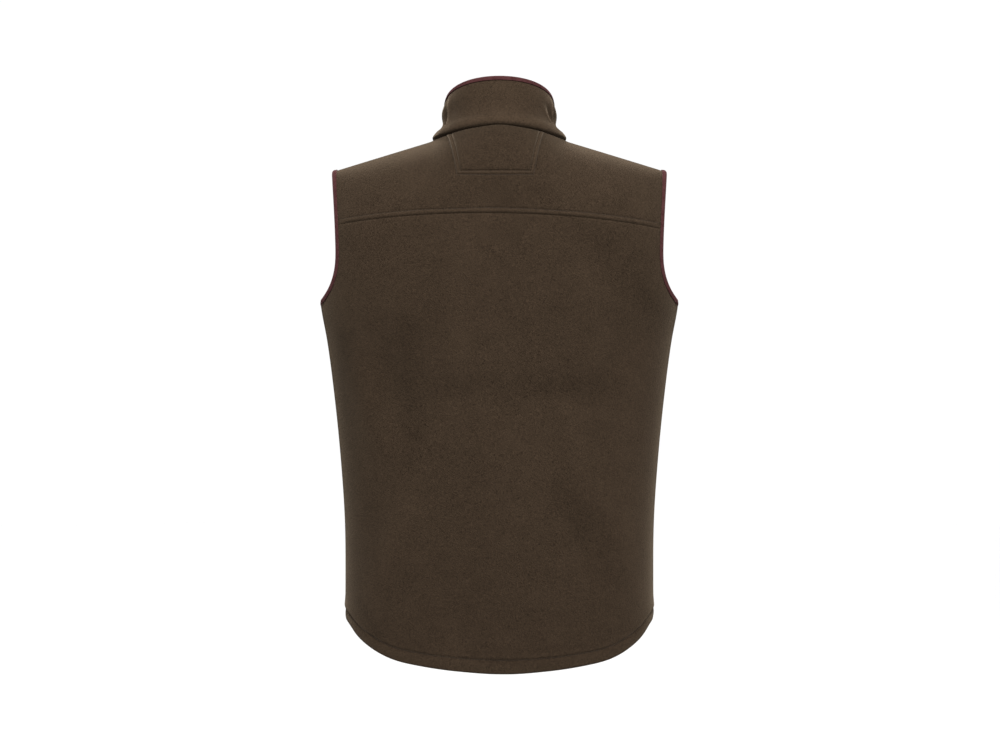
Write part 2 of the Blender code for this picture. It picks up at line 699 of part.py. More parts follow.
def collar_fold(points, round_angle):
    """How far the collar's folds move it out."""
    degrees = np.degrees(round_angle)
    total = np.zeros(degrees.shape)
    for fold in COLLAR_FOLDS:
        line = fold.round_deg + fold.lean_deg * (points[..., 2] - fold.height)
        along = np.clip(1 - ((points[..., 2] - fold.height) / 0.030) ** 2, 0, 1)
        total = total + fold.out * along * np.exp(-(((degrees - line) / fold.half_width_deg) ** 2))
    return total


def collar_skin(level, round_angle):
    step = 1e-3
    up = collar_point(level + step, round_angle) - collar_point(level - step, round_angle)
    forward = collar_point(level, round_angle + step) - collar_point(level, round_angle - step)
    out = unit(np.cross(up, forward))
    points = collar_point(level, round_angle)
    return points + out * collar_fold(points, round_angle)[..., None], out


def collar_grid():
    """The collar's outer and inner points, from its seam with the neckline to its top edge."""
    yoke_turns, front_turns = neck_turns()
    turns = np.concatenate([-front_turns[:-1], yoke_turns, front_turns[-2::-1]])
    seam_x, seam_over = neck_edge(turns, smaller=SEAM_GAP)
    seam_x[[0, -1]] = (-FRONT_EDGE, FRONT_EDGE)
    seam_points, seam_out = skin_over_shoulder(seam_x, seam_over)
    outer, inner = [seam_points], [seam_points - seam_out * CLOTH_THICK]
    for level, ring in enumerate(COLLAR):
        end = math.pi - math.asin((FRONT_EDGE / ring.side) ** (COLLAR_SQUARENESS / 2))
        level = min(max(level, 0.01), len(COLLAR) - 1.01)
        points, out = collar_skin(np.full(turns.shape, level), turns * end / turns[-1])
        outer.append(points)
        inner.append(points - out * CLOTH_THICK)
    return np.array(outer), np.array(inner)


def binding_ring(outer, inner, off_outer, off_inner, way_outer, way_inner, reach):
    """The folded binding's section at one place on a raw edge: over its outer face, past it, and back inside."""
    near, far = BINDING_LOOSE, BINDING_LOOSE + BINDING_WALL
    edge = CLOTH_THICK * 0.12
    front = ((-BINDING_LAP, near), (-BINDING_LAP, far), (reach * 0.55, far), (reach, -edge))
    rear = ((reach, edge), (reach * 0.55, -far), (-BINDING_LAP, -far), (-BINDING_LAP, -near), (SEAM_GAP, -near))
    ring = [outer + way_outer * along + off_outer * off for along, off in front]
    ring += [inner + way_inner * along + off_inner * off for along, off in rear]
    return ring + [outer + way_outer * SEAM_GAP + off_outer * near]


def bound_edge(name, edge, toward, reach, material, collection, closed):
    """Binding along an edge of a wall; toward lies off the cloth, on the binding's side."""
    outer, inner, off_outer, off_inner = edge
    if closed:
        ahead, behind = np.roll(outer, -1, axis=0), np.roll(outer, 1, axis=0)
    else:
        ahead = np.concatenate([outer[1:], 2 * outer[-1:] - outer[-2:-1]])
        behind = np.concatenate([2 * outer[:1] - outer[1:2], outer[:-1]])
    along = unit(unit(ahead - outer) + unit(outer - behind))
    turn = np.sign(((toward - outer) * np.cross(along, off_outer)).sum(axis=1, keepdims=True))
    way_outer = unit(np.cross(along, off_outer)) * turn
    way_inner = unit(np.cross(along, off_inner)) * turn
    rings = [
        binding_ring(*place, reach)
        for place in zip(outer, inner, off_outer, off_inner, way_outer, way_inner)
    ]
    return swept_band(name, np.array(rings), material, collection, closed)


def tape_band(name, side, front, collar, material, collection):
    """A zip tape, made from the inner points of the front and the collar beside the opening, moved in."""
    wall = np.concatenate([front[:, :-1, :2], collar[:, :-1, :2]], axis=1)
    top = collar[:, -2, :2] + (collar[:, -1, :2] - collar[:, -2, :2]) * 0.78
    wall = np.concatenate([wall, top[:, None]], axis=1)
    outer, inner = wall[0], wall[1]
    edge, beside = inner[:, 0], inner[:, 1]
    slope = (beside - edge) / (beside[:, :1] - edge[:, :1])
    inward = -unit(outer[:, 0] - inner[:, 0])
    rings = []
    for x, off in (
        (TAPE_INNER, SEAM_GAP),
        (TAPE_OUTER, SEAM_GAP),
        (TAPE_OUTER, SEAM_GAP + TAPE_THICK),
        (TAPE_INNER, SEAM_GAP + TAPE_THICK),
    ):
        rings.append(edge + slope * (side * x - edge[:, :1]) + inward * off)
    return swept_band(name, np.stack(rings, axis=1), material, collection, closed=False)


def zip_path(front, collar):
    """y and height of the cloth's outer face at the zip, from the hem to the collar's top."""
    outer, inner = np.concatenate([front[:2, :, 0], collar[:2, 1:, 0]], axis=1)
    path = (inner + unit(outer - inner) * CLOTH_THICK)[:, 1:]
    return path[np.argsort(path[:, 1])]


def chain_band(name, path, low, high, material, collection):
    """The zip's chain, a little behind the cloth's outer face."""
    heights = np.concatenate([[low], path[(path[:, 1] > low + 0.004) & (path[:, 1] < high - 0.004), 1], [high]])
    places = np.stack([np.interp(heights, path[:, 1], path[:, 0]), heights], axis=1)
    ahead = np.concatenate([places[1:], places[-1:]])
    behind = np.concatenate([places[:1], places[:-1]])
    way = unit(ahead - behind)
    inward = np.stack([way[:, 1], -way[:, 0]], axis=1)
    front, rear = places + inward * CHAIN_FRONT, places + inward * (CHAIN_FRONT + CHAIN_THICK)
    half = np.full(len(places), CHAIN_HALF_WIDTH)
    corners = ((-half, front), (half, front), (half, rear), (-half, rear))
    rings = np.stack([np.column_stack([x, place]) for x, place in corners], axis=1)
    return swept_band(name, rings, material, collection, closed=False)


def block(name, size, place, material, collection, bevel):
    """A box with softened edges, in its place."""
    bpy.ops.mesh.primitive_cube_add(size=1, location=place)
    piece = bpy.context.object
    piece.name = name
    piece.scale = size
    bpy.ops.object.transform_apply(location=False, rotation=False, scale=True)
    piece.data.name = name
    piece.data.materials.append(material)
    soften = piece.modifiers.new("Softened edges", "BEVEL")
    soften.width = bevel
    soften.segments = 2
    for owner in list(piece.users_collection):
        owner.objects.unlink(piece)
    collection.objects.link(piece)
    return piece


def joined(name, pieces, collection):
    """One mesh from several closed boxes, by Boolean union."""
    base = pieces[0]
    for other in pieces[1:]:
        union = base.modifiers.new("Union", "BOOLEAN")
        union.operation = "UNION"
        union.object = other
        other.hide_render = True
        other.display_type = "WIRE"
    base.name = name
    for other in pieces[1:]:
        for owner in list(other.users_collection):
            owner.objects.unlink(other)
        collection.objects.link(other)
    return base


def make_slider(path, metal, parts, cutters):
    """The slider near the top of the zip, its bridge, and the pull tab that hangs from the bridge."""
    middle = SLIDER_TOP - SLIDER_TALL / 2
    low = SLIDER_TOP - SLIDER_TALL
    face = float(np.interp(low, path[:, 1], path[:, 0])) + CHAIN_FRONT
    front = face - SLIDER_PROUD
    body = block(
        "zip_slider",
        (2 * SLIDER_HALF_WIDTH, SLIDER_PROUD - SEAM_GAP, SLIDER_TALL),
        (0, (front + face - SEAM_GAP) / 2, middle),
        metal,
        parts,
        0.0007,
    )
    bridge_front = front - BRIDGE_ROOM - BRIDGE_THICK
    strap = block(
        "bridge_strap",
        (2 * BRIDGE_HALF_WIDTH, BRIDGE_THICK, 0.0080),
        (0, bridge_front + BRIDGE_THICK / 2, middle + 0.0006),
        metal,
        parts,
        0.0002,
    )
    feet = []
    for number, height in enumerate((middle + 0.0040, middle - 0.0028)):
        deep = BRIDGE_ROOM + BRIDGE_THICK + 0.0008
        feet.append(
            block(
                f"bridge_foot_{number}",
                (2 * BRIDGE_HALF_WIDTH - 0.0001, deep, 0.0011),
                (0, bridge_front + 0.0001 + deep / 2, height),
                metal,
                parts,
                0.0002,
            )
        )
    joined("zip_slider", [body, strap] + feet, cutters)

    pivot = (0, front - BRIDGE_ROOM / 2, middle + 0.0006)
    hinge = bpy.data.objects.new("pull_hinge", None)
    hinge.location = pivot
    parts.objects.link(hinge)
    tab = block(
        "zip_pull",
        (2 * PULL_HALF_WIDTH, PULL_THICK, PULL_LONG),
        (0, pivot[1], pivot[2] + PULL_THICK / 2 - PULL_LONG / 2),
        metal,
        parts,
        0.0004,
    )
    window = block(
        "pull_window",
        (2 * PULL_WINDOW_HALF, 0.006, PULL_WINDOW_LONG),
        (0, pivot[1], pivot[2] - PULL_THICK / 2 - PULL_WINDOW_LONG / 2),
        metal,
        cutters,
        0.0005,
    )
    window.hide_render = True
    window.display_type = "WIRE"
    cut = tab.modifiers.new("Window", "BOOLEAN")
    cut.operation = "DIFFERENCE"
    cut.object = window
    tab.location = (0, tab.location[1] - pivot[1], tab.location[2] - pivot[2])
    tab.parent = hinge


def make_box(path, metal, parts):
    """The zip's bottom box, between the two front edges."""
    low = path[0, 1] + 0.0008
    face = float(np.interp(low + BOX_TALL / 2, path[:, 1], path[:, 0]))
    size = (2 * CHAIN_HALF_WIDTH + 0.0024, 0.0022, BOX_TALL)
    block("zip_box", size, (0, face + 0.0014, low + BOX_TALL / 2), metal, parts, 0.0005)
    return low + BOX_TALL + SEAM_GAP


def main():
    for item in list(bpy.data.objects):
        bpy.data.objects.remove(item, do_unlink=True)
    parts = bpy.data.collections.new("fleece_gilet")
    cutters = bpy.data.collections.new("cutters")
    bpy.context.scene.collection.children.link(parts)
    bpy.context.scene.collection.children.link(cutters)

    cloth_pieces = ("back_body", "back_yoke", "neck_panel", "front_left", "front_right", "collar")
    fleece = {name: new_material(name, FLEECE_COLOUR, 0.95) for name in cloth_pieces}
    binding = {
        name: new_material(name, BINDING_COLOUR, 0.6)
        for name in ("collar_binding", "armhole_binding_left", "armhole_binding_right")
    }
    tape = new_material("zip_tape", ZIP_CLOTH_COLOUR, 0.85)
    chain = new_material("zip_chain", ZIP_METAL_COLOUR, 0.5, 0.6)
    metal = new_material("zip_metal", ZIP_METAL_COLOUR, 0.4, 1.0)

    back = make_back_body(fleece["back_body"], parts)
    yoke = make_back_yoke(fleece["back_yoke"], fleece["neck_panel"], parts)
    outer, inner = collar_grid()
    cloth_wall("collar", outer, inner, fleece["collar"], parts)
    collar = both_faces(outer, inner)

    zip_edges = {}
    for side, word, end in ((1, "left", -1), (-1, "right", 0)):
        front, zip_edges[side] = make_front(side, fleece[f"front_{word}"], parts)
        armhole = [back[:, ::-1, end], yoke[:, 1:, end], front[:, -2:0:-1, -1]]
        name = f"armhole_binding_{word}"
        middle = np.array([side * 0.25, 0.0, -0.125])
        bound_edge(name, np.concatenate(armhole, axis=1), middle, BINDING_REACH, binding[name], parts, True)
        collar_edge = collar if side < 0 else collar[:, :, ::-1]
        tape_band(f"zip_tape_{word}", side, zip_edges[side], collar_edge, tape, parts)
    above = np.array([0.0, 0.0, 1.0])
    name = "collar_binding"
    bound_edge(name, collar[:, -1], above, COLLAR_BINDING_REACH, binding[name], parts, False)

    path = zip_path(zip_edges[1], collar[:, :, ::-1])
    low = make_box(path, metal, parts)
    chain_band("zip_chain", path, low, SLIDER_TOP - SLIDER_TALL + 0.005, chain, parts)
    make_slider(path, metal, parts, cutters)


main()
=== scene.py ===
"""Dresses the fleece gilet: napped fleece, sewn seams, knitted binding and a moulded zip.

The origin is at the middle of the neck opening. +Z is up, the zipped front faces -Y, the wearer's left is +X.
Sizes are in metres and colours in linear light.
"""

import math
from collections import namedtuple

import bpy
import numpy as np
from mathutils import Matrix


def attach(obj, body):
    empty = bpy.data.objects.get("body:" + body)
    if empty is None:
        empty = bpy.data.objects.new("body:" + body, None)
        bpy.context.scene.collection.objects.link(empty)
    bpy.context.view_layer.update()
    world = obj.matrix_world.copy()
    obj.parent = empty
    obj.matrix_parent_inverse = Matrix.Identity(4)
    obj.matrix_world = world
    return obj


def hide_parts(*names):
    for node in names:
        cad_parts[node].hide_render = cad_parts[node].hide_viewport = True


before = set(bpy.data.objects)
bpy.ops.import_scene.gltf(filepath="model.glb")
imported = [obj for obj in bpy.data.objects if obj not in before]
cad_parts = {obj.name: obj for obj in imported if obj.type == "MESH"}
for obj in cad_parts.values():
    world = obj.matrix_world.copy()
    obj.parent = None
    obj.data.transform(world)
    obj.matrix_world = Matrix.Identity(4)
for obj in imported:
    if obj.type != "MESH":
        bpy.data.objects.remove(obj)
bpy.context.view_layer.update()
scene = bpy.context.scene


def table(columns, *rows):
    """Rows of sizes under named columns."""
    row_of = namedtuple("Row", columns)
    return [row_of(*row) for row in rows]


# The photographer's side: a camera level with the waist behind the gilet, and soft light from big pale
# surfaces. The floor lies where the wearer's feet would be.

CAMERA_AWAY = 3.0
CAMERA_HEIGHT = -0.315
LENS = 80.6
PHOTO_CENTRE_LEFT = 0.0006
FLOOR_HEIGHT = -1.42
FLOOR_RADIUS = 14
FLOOR_PALE = (0.99, 0.99, 0.99, 1.0)
PALE_AROUND = 1.02

camera = bpy.data.objects.new("camera", bpy.data.cameras.new("camera"))
camera.location = (0, CAMERA_AWAY, CAMERA_HEIGHT)
camera.rotation_euler = (math.pi / 2, 0, math.pi)
camera.data.lens = LENS
camera.data.sensor_width = 36
camera.data.shift_x = PHOTO_CENTRE_LEFT
scene.collection.objects.link(camera)
scene.camera = camera
scene.view_settings.view_transform = "Standard"

world = bpy.data.worlds.new("pale_studio")
world.use_nodes = True
around = world.node_tree.nodes["Background"]
around.inputs["Color"].default_value = (1, 1, 1, 1)
around.inputs["Strength"].default_value = PALE_AROUND
scene.world = world

LAMPS = table(
    "name place size power",
    ("key_softbox", (-0.08, 2.3, 1.9), 1.0, 56),
    ("fill_softbox", (-2.2, 2.4, 0.2), 1.5, 5),
    ("front_softbox", (0.3, -2.1, 1.9), 1.0, 50),
)
LAMP_SPREAD = math.radians(60)
LAMPS_AIM_AT = (0.0, 0.0, -0.3)
for lamp in LAMPS:
    light = bpy.data.lights.new(lamp.name, "AREA")
    light.size = lamp.size
    light.energy = lamp.power
    light.spread = LAMP_SPREAD
    holder = bpy.data.objects.new(lamp.name, light)
    holder.location = lamp.place
    aim = np.subtract(LAMPS_AIM_AT, lamp.place)
    tilt = math.atan2(math.hypot(aim[0], aim[1]), -aim[2])
    holder.rotation_euler = (tilt, 0, math.atan2(aim[1], aim[0]) - math.pi / 2)
    scene.collection.objects.link(holder)

bpy.ops.mesh.primitive_circle_add(vertices=96, radius=FLOOR_RADIUS, fill_type="NGON")
floor = bpy.context.object
floor.name = "studio_floor"
floor.location.z = FLOOR_HEIGHT
floor_paint = bpy.data.materials.new("pale_floor")
floor_paint.use_nodes = True
floor_shader = floor_paint.node_tree.nodes["Principled BSDF"]
floor_shader.inputs["Base Color"].default_value = FLOOR_PALE
floor_shader.inputs["Roughness"].default_value = 0.9
floor.data.materials.append(floor_paint)


# The lower back is one panel of brushed fleece, cut wide over the shoulder blades and dropped at the centre
# of its hem. It hangs from the yoke. The body that filled it out has left drags, and a hollow down the spine.

CLOTH_THICK = 0.0026
SEAM_BITE = 0.0003
HALF_BITE = SEAM_BITE / 2
SIDE_RADIUS = 0.2

# The form the cloth is filled out to: half widths and depths of level sections, and how square each one is
SECTIONS = table(
    "height half_width back_depth front_depth squareness",
    (-0.730, 0.2058, 0.127, 0.123, 2.30),
    (-0.650, 0.2062, 0.125, 0.122, 2.30),
    (-0.590, 0.2056, 0.121, 0.119, 2.30),
    (-0.509, 0.2065, 0.115, 0.116, 2.30),
    (-0.429, 0.2118, 0.109, 0.114, 2.30),
    (-0.348, 0.2198, 0.108, 0.116, 2.30),
    (-0.268, 0.2303, 0.113, 0.119, 2.35),
    (-0.222, 0.2385, 0.117, 0.119, 2.40),
    (-0.150, 0.2400, 0.119, 0.117, 2.40),
    (-0.080, 0.2400, 0.119, 0.113, 2.40),
    (0.060, 0.2400, 0.118, 0.112, 2.40),
)
SHOULDER_TOP = 0.0243
SHOULDER_FALL = 0.302
NAPE_SOFT = 0.016
NECK_RISE = 0.0205
NECK_RISE_REACH = 0.092
BACK_ROUNDING = 0.11
FRONT_ROUNDING = 0.26

# Where each drag or hollow in the cloth starts and ends, its half width, and how far it stands out
MARK = "x_from z_from x_to z_to half_width change"
BACK_FOLDS = table(
    MARK,
    (0.002, -0.130, 0.004, -0.500, 0.016, -0.0030),
    (0.050, -0.250, 0.046, -0.345, 0.020, 0.0030),
    (-0.010, -0.340, -0.170, -0.346, 0.022, -0.0034),
    (0.085, -0.338, 0.000, -0.340, 0.018, -0.0018),
    (0.165, -0.235, 0.115, -0.420, 0.024, -0.0050),
    (0.195, -0.270, 0.150, -0.450, 0.020, 0.0035),
    (-0.175, -0.240, -0.125, -0.370, 0.022, -0.0035),
    (-0.105, -0.470, -0.115, -0.590, 0.028, -0.0050),
    (0.178, -0.600, 0.100, -0.450, 0.018, 0.0030),
    (0.060, -0.560, 0.075, -0.690, 0.026, -0.0030),
)
FRONT_FOLDS = table(
    MARK,
    (0.150, -0.240, 0.090, -0.400, 0.024, -0.0045),
    (-0.155, -0.245, -0.100, -0.430, 0.022, -0.0045),
    (0.120, -0.440, 0.135, -0.620, 0.026, -0.0040),
    (-0.110, -0.420, -0.140, -0.615, 0.028, 0.0035),
)

HEM = table(
    "round_deg height turning",
    (-12, -0.6968, 0.0172),
    (0, -0.6996, 0.0181),
    (12, -0.6968, 0.0172),
    (27, -0.6910, 0.0167),
    (40, -0.6840, 0.0164),
    (55, -0.6689, 0.0164),
    (64, -0.6583, 0.0162),
    (72, -0.6482, 0.0153),
    (90, -0.6393, 0.0145),
    (110, -0.6345, 0.0150),
    (140, -0.6310, 0.0155),
    (180, -0.6300, 0.0160),
)
HEM_TURNED = 0.022
HEM_EXTRA_THICK = 0.0016

ARMHOLE_MIDDLE = -0.154
ARMHOLE_BOTTOM = -0.222
ARMHOLE_EDGE = 0.2110
ARMHOLE_SHOULDER_EDGE = 0.2185
ARMHOLE_FRONT_SCOOP = 0.008
ARMHOLE_ROUNDNESS = 2.5

YOKE_SEAM_HEIGHT = -0.1063
YOKE_SEAM_SAG = 0.0136
YOKE_SEAM_TILT = 0.0028
YOKE_SEAM_HALF = 0.21
YOKE_HALF = 0.2125
BACK_UNDERARM = -0.212
UNDERARM_DIP = 0.015


def smooth_through(places, known, values):
    """A smooth curve through the known points, read at the places asked for."""
    known, values = np.asarray(known, float), np.asarray(values, float)
    slopes = np.gradient(values, known)
    places = np.clip(np.asarray(places, float), known[0], known[-1])
    left = np.clip(np.searchsorted(known, places, side="right") - 1, 0, len(known) - 2)
    gap = known[left + 1] - known[left]
    share = (places - known[left]) / gap
    keep = (1 + 2 * share) * (1 - share) ** 2
    lead = share * (1 - share) ** 2 * gap * slopes[left]
    lag = share**2 * (share - 1) * gap * slopes[left + 1]
    return keep * values[left] + lead + (1 - keep) * values[left + 1] + lag


def from_table(rows, measured_by, name, places):
    """One column of a table of sizes, as a smooth curve over another."""
    known = [getattr(row, measured_by) for row in rows]
    return smooth_through(places, known, [getattr(row, name) for row in rows])


def along_line(points):
    """How far along a line each of its points is."""
    return np.concatenate([[0], np.cumsum(np.linalg.norm(np.diff(points, axis=0), axis=1))])


def read_along(away, values, at):
    """A line's rows of numbers, read at these distances along it."""
    return np.stack([np.interp(at, away, column) for column in values.T], axis=-1)


def section_value(name, height):
    return from_table(SECTIONS, "height", name, height)


def hem_rows(round_angle):
    """The heights of the hem's edge and of its stitched fold, and how deep the turning is."""
    turned = np.degrees(np.abs(round_angle + HEM_TURNED * np.maximum(np.cos(round_angle), 0)))
    edge, turning = (from_table(HEM, "round_deg", name, turned) for name in ("height", "turning"))
    return edge, edge + turning, turning


def shoulder_height(x):
    near = np.clip(x / NECK_RISE_REACH, -1, 1) ** 2
    aside = np.where(np.abs(x) < NAPE_SOFT, (x**2 / NAPE_SOFT + NAPE_SOFT) / 2, np.abs(x))
    return SHOULDER_TOP - SHOULDER_FALL * aside + NECK_RISE * (1 - near) ** 2 * (1 + 2 * near)


def full_depth(x, height, back):
    """How far the form stands from the side plane, before the shoulders close over it."""
    depth = np.where(back, section_value("back_depth", height), section_value("front_depth", height))
    power = section_value("squareness", height)
    share = np.clip(np.abs(x) / section_value("half_width", height), 0, 1)
    return depth * (1 - share**power) ** (1 / power)


def rounding(back):
    return np.where(back, BACK_ROUNDING, FRONT_ROUNDING)


def at_height(round_angle, height):
    """A point of the form, by its angle round from the centre back and its height."""
    back = np.cos(round_angle) >= 0
    power = section_value("squareness", height)
    x = section_value("half_width", height) * np.abs(np.sin(round_angle)) ** (2 / power)
    x = x * np.sign(np.sin(round_angle))
    drop = np.clip((shoulder_height(x) - height) / rounding(back), 0, 1)
    y = full_depth(x, height, back) * np.sqrt(1 - (1 - drop) ** 2) * np.where(back, 1, -1)
    return np.stack(np.broadcast_arrays(x, y, height), axis=-1)


def over_shoulder(x, over):
    """A point of the form, by its x and its way over the shoulder, above 0 behind the ridge."""
    back = np.asarray(over) >= 0
    turn = np.abs(over) / rounding(back)
    rounded = np.minimum(turn, math.pi / 2)
    drop = 1 - np.cos(rounded) + turn - rounded
    height = shoulder_height(x) - drop * rounding(back)
    y = full_depth(x, height, back) * np.sin(rounded) * np.where(back, 1, -1)
    return np.stack(np.broadcast_arrays(x, y, height), axis=-1)


def way_over(x, height, back):
    """The way over the shoulder that brings a point at x to this height."""
    size = float(rounding(back))
    drop = np.maximum(shoulder_height(x) - height, 0) / size
    way = size * np.where(drop < 1, np.arccos(1 - np.minimum(drop, 1)), math.pi / 2 + drop - 1)
    return way if back else -way


def beside_mark(mark, x, height):
    """How far along a mark and how far aside of it these places are, and its length."""
    run = np.array([mark.x_to - mark.x_from, mark.z_to - mark.z_from])
    long = math.hypot(*run)
    run = run / long
    along = (x - mark.x_from) * run[0] + (height - mark.z_from) * run[1]
    aside = (x - mark.x_from) * run[1] - (height - mark.z_from) * run[0]
    return along, aside, long


def bump(distance, half_width, high=1.0):
    """A soft rise, or a hollow, by the distance from its middle."""
    return high * np.exp(-((distance / half_width) ** 2))


def fold_value(x, height, back):
    """How far the drags and hollows move the cloth out at these places."""
    total = np.zeros(np.broadcast(x, height).shape)
    for on_back, folds in ((True, BACK_FOLDS), (False, FRONT_FOLDS)):
        for fold in folds:
            along, aside, long = beside_mark(fold, x, height)
            ends = np.clip(1 - (2 * along / long - 1) ** 2, 0, 1) ** 1.5
            moved = bump(aside, fold.half_width, fold.change) * ends
            total = total + np.where(back == on_back, moved, 0)
    return total


def unit(vectors):
    return vectors / np.linalg.norm(vectors, axis=-1, keepdims=True)


def skin(place, first, second, sign):
    """Points and outward directions of the cloth's outer face, on a form given by two measures."""
    step = 1e-3
    along_first = place(first + step, second) - place(first - step, second)
    along_second = place(first, second + step) - place(first, second - step)
    out = unit(np.cross(along_second, along_first)) * sign
    points = place(first, second)
    back = points[..., 1] >= 0
    return points + out * fold_value(points[..., 0], points[..., 2], back)[..., None], out


def skin_at_height(round_angle, height):
    return skin(at_height, round_angle, height, 1)


def skin_over_shoulder(x, over):
    return skin(over_shoulder, x, over, -1)


def angle_of_x(x, height):
    """The angle round from the centre back at which the form reaches this x."""
    share = np.clip(x / section_value("half_width", height), 0, 1)
    return np.arcsin(share ** (section_value("squareness", height) / 2))


def armhole_x(height, back):
    low = ARMHOLE_EDGE if back else ARMHOLE_EDGE - ARMHOLE_FRONT_SCOOP
    rise = np.clip((height - ARMHOLE_MIDDLE) / 0.11, 0, 1)
    return low + (ARMHOLE_SHOULDER_EDGE - low) * rise**1.5


def armhole_side(height, back):
    """How far round from the side seam the armhole's straighter edge is."""
    return math.pi / 2 - angle_of_x(armhole_x(height, back), height)


def armhole_edge(share, top, back):
    """How far round from the side seam, and the height; share 0 is top, 0.25 the middle, 1 the seam."""
    turn = np.radians(smooth_through(share, np.linspace(0.25, 1, 7), (90, 70, 52, 36, 24, 12, 0)))
    power = 2 / ARMHOLE_ROUNDNESS
    low = ARMHOLE_MIDDLE - (ARMHOLE_MIDDLE - ARMHOLE_BOTTOM) * np.abs(np.cos(turn)) ** power
    high = top + (ARMHOLE_MIDDLE - top) * np.minimum(share, 0.25) / 0.25
    angles = np.linspace(0, float(armhole_side(ARMHOLE_MIDDLE, back)), 60)
    ring = at_height(math.pi / 2 - angles, np.full(60, ARMHOLE_MIDDLE))
    far = along_line(ring)
    rounded = np.interp(np.abs(np.sin(turn)) ** power * far[-1], far, angles)
    upper = np.asarray(share) < 0.25
    return np.where(upper, armhole_side(high, back), rounded), np.where(upper, high, low)


def dip_to_armhole(across):
    share = np.abs(across)
    return share**4 * (1 - share) / 0.082


def yoke_seam(x):
    return YOKE_SEAM_HEIGHT - YOKE_SEAM_SAG * (x / YOKE_SEAM_HALF) ** 2 + YOKE_SEAM_TILT * x / YOKE_SEAM_HALF


# A sewn edge: the cloth rolls down into its seam, stands a little proud beside it, and dimples at stitches
SEAM_DEEP = 0.0011
SEAM_ROLL = 0.0030
PUFF_HIGH = 0.0003
PUFF_AWAY = 0.006
HEM_ROLL = 0.0026
HEM_DRAWN_IN = 0.0019
HEM_BAND_HIGH = 0.0010
SIDES_FROM = 0.165
SIDES_OVER = 0.035

# Beside the hem's stitches: the groove, the ledge over it, and the flare of the cloth at the sides
GROOVE, LEDGE, FLARE = table(
    "above half_width high",
    (0.0, 0.0017, -0.0009),
    (0.0042, 0.0024, 0.0004),
    (0.0075, 0.0060, 0.0006),
)
STITCH_DEEP = 0.0006
STITCH_DIMPLE = 0.0015
# Painted highlight on cloth standing proud, full at this height, and painted shade down in seams
RIDGE_PAINTED_HIGHLIGHT = 0.14
RIDGE_HIGHLIGHT_HEIGHT = 0.0009
SEAM_SHADE = 0.10


def into_seam(distance):
    """The roll of the cloth down into a seam, at a distance from it."""
    share = np.clip(np.abs(distance) / SEAM_ROLL, 0, 1)
    return -SEAM_DEEP * (1 - share) ** 2 * (1 + 2 * share)


def beside_seam(distance):
    """The cloth standing a little proud beside a seam, and easing back to its form."""
    share = np.abs(distance) / PUFF_AWAY
    return PUFF_HIGH * share * np.exp(1 - share)


def seam_relief(distance, rolled=1.0, puffed=1.0):
    return into_seam(distance) * rolled + beside_seam(distance) * puffed


def dimple(distance):
    return bump(distance, STITCH_DIMPLE, -STITCH_DEEP)


def turned_under(distance):
    """The relief of the edge along the zip, which is turned under and topstitched."""
    return seam_relief(distance, 0.8, 0.5) + dimple(distance - ZIP_STITCH_AWAY)


def relief_light_and_shade(relief):
    """Painted highlight where the cloth stands proud, and painted shade down in a seam."""
    paler = RIDGE_PAINTED_HIGHLIGHT * np.clip(relief / RIDGE_HIGHLIGHT_HEIGHT, 0, 1)
    return paler - SEAM_SHADE * np.clip(-relief / SEAM_DEEP, 0, 1)


def off_the_armhole(across):
    """1 over a panel, falling to 0 beside the armhole, where the binding holds the cloth flat."""
    return np.clip((1 - np.abs(across)) * 14, 0, 1)


def hem_relief(x, above_fold, above_edge):
    """The turned hem: a stitched groove that dents unevenly, the doubled band below, and its rolled edge.

    At the sides the cloth above the hem flares over it, and the band is drawn in.
    """
    uneven = 1 + 0.30 * np.sin(x * 191 + 1.3) * np.sin(x * 77) + 0.20 * np.sin(x * 433 + np.sin(x * 61) * 3)
    at_side = np.clip((np.abs(x) - SIDES_FROM) / SIDES_OVER, 0, 1)
    relief = -rolled_edge(above_edge)
    for shape, share in ((GROOVE, uneven), (LEDGE, 1), (FLARE, at_side)):
        relief += bump(above_fold - shape.above, shape.half_width, shape.high) * share
    below = np.clip(-above_fold / (above_edge - above_fold), 0, 1)
    drawn_in = 0.0014 * at_side * np.clip(-above_fold / 0.003, 0, 1)
    return relief + HEM_BAND_HIGH * np.sin(math.pi * below) ** 0.8 - drawn_in


def rolled_edge(distance):
    """How far each face is drawn in where the hem's lower edge rolls over."""
    share = np.clip(distance / HEM_ROLL, 0, 1)
    return HEM_DRAWN_IN * (1 - np.sqrt(1 - (1 - share) ** 2))


def hem_wall(above_fold, above_edge):
    """The wall's thickness there: doubled in the hem, and drawn in at the rolled edge."""
    doubled = HEM_EXTRA_THICK * np.clip(-above_fold / 0.002, 0, 1)
    return CLOTH_THICK + doubled - rolled_edge(above_edge)


def panel_faces(points, out, relief, wall=CLOTH_THICK):
    """The outer and inner faces of a panel, and the painted highlight and shade that its relief puts in the
    colour.
    """
    return points + out * relief[..., None], points - out * np.expand_dims(wall, -1), relief_light_and_shade(relief)


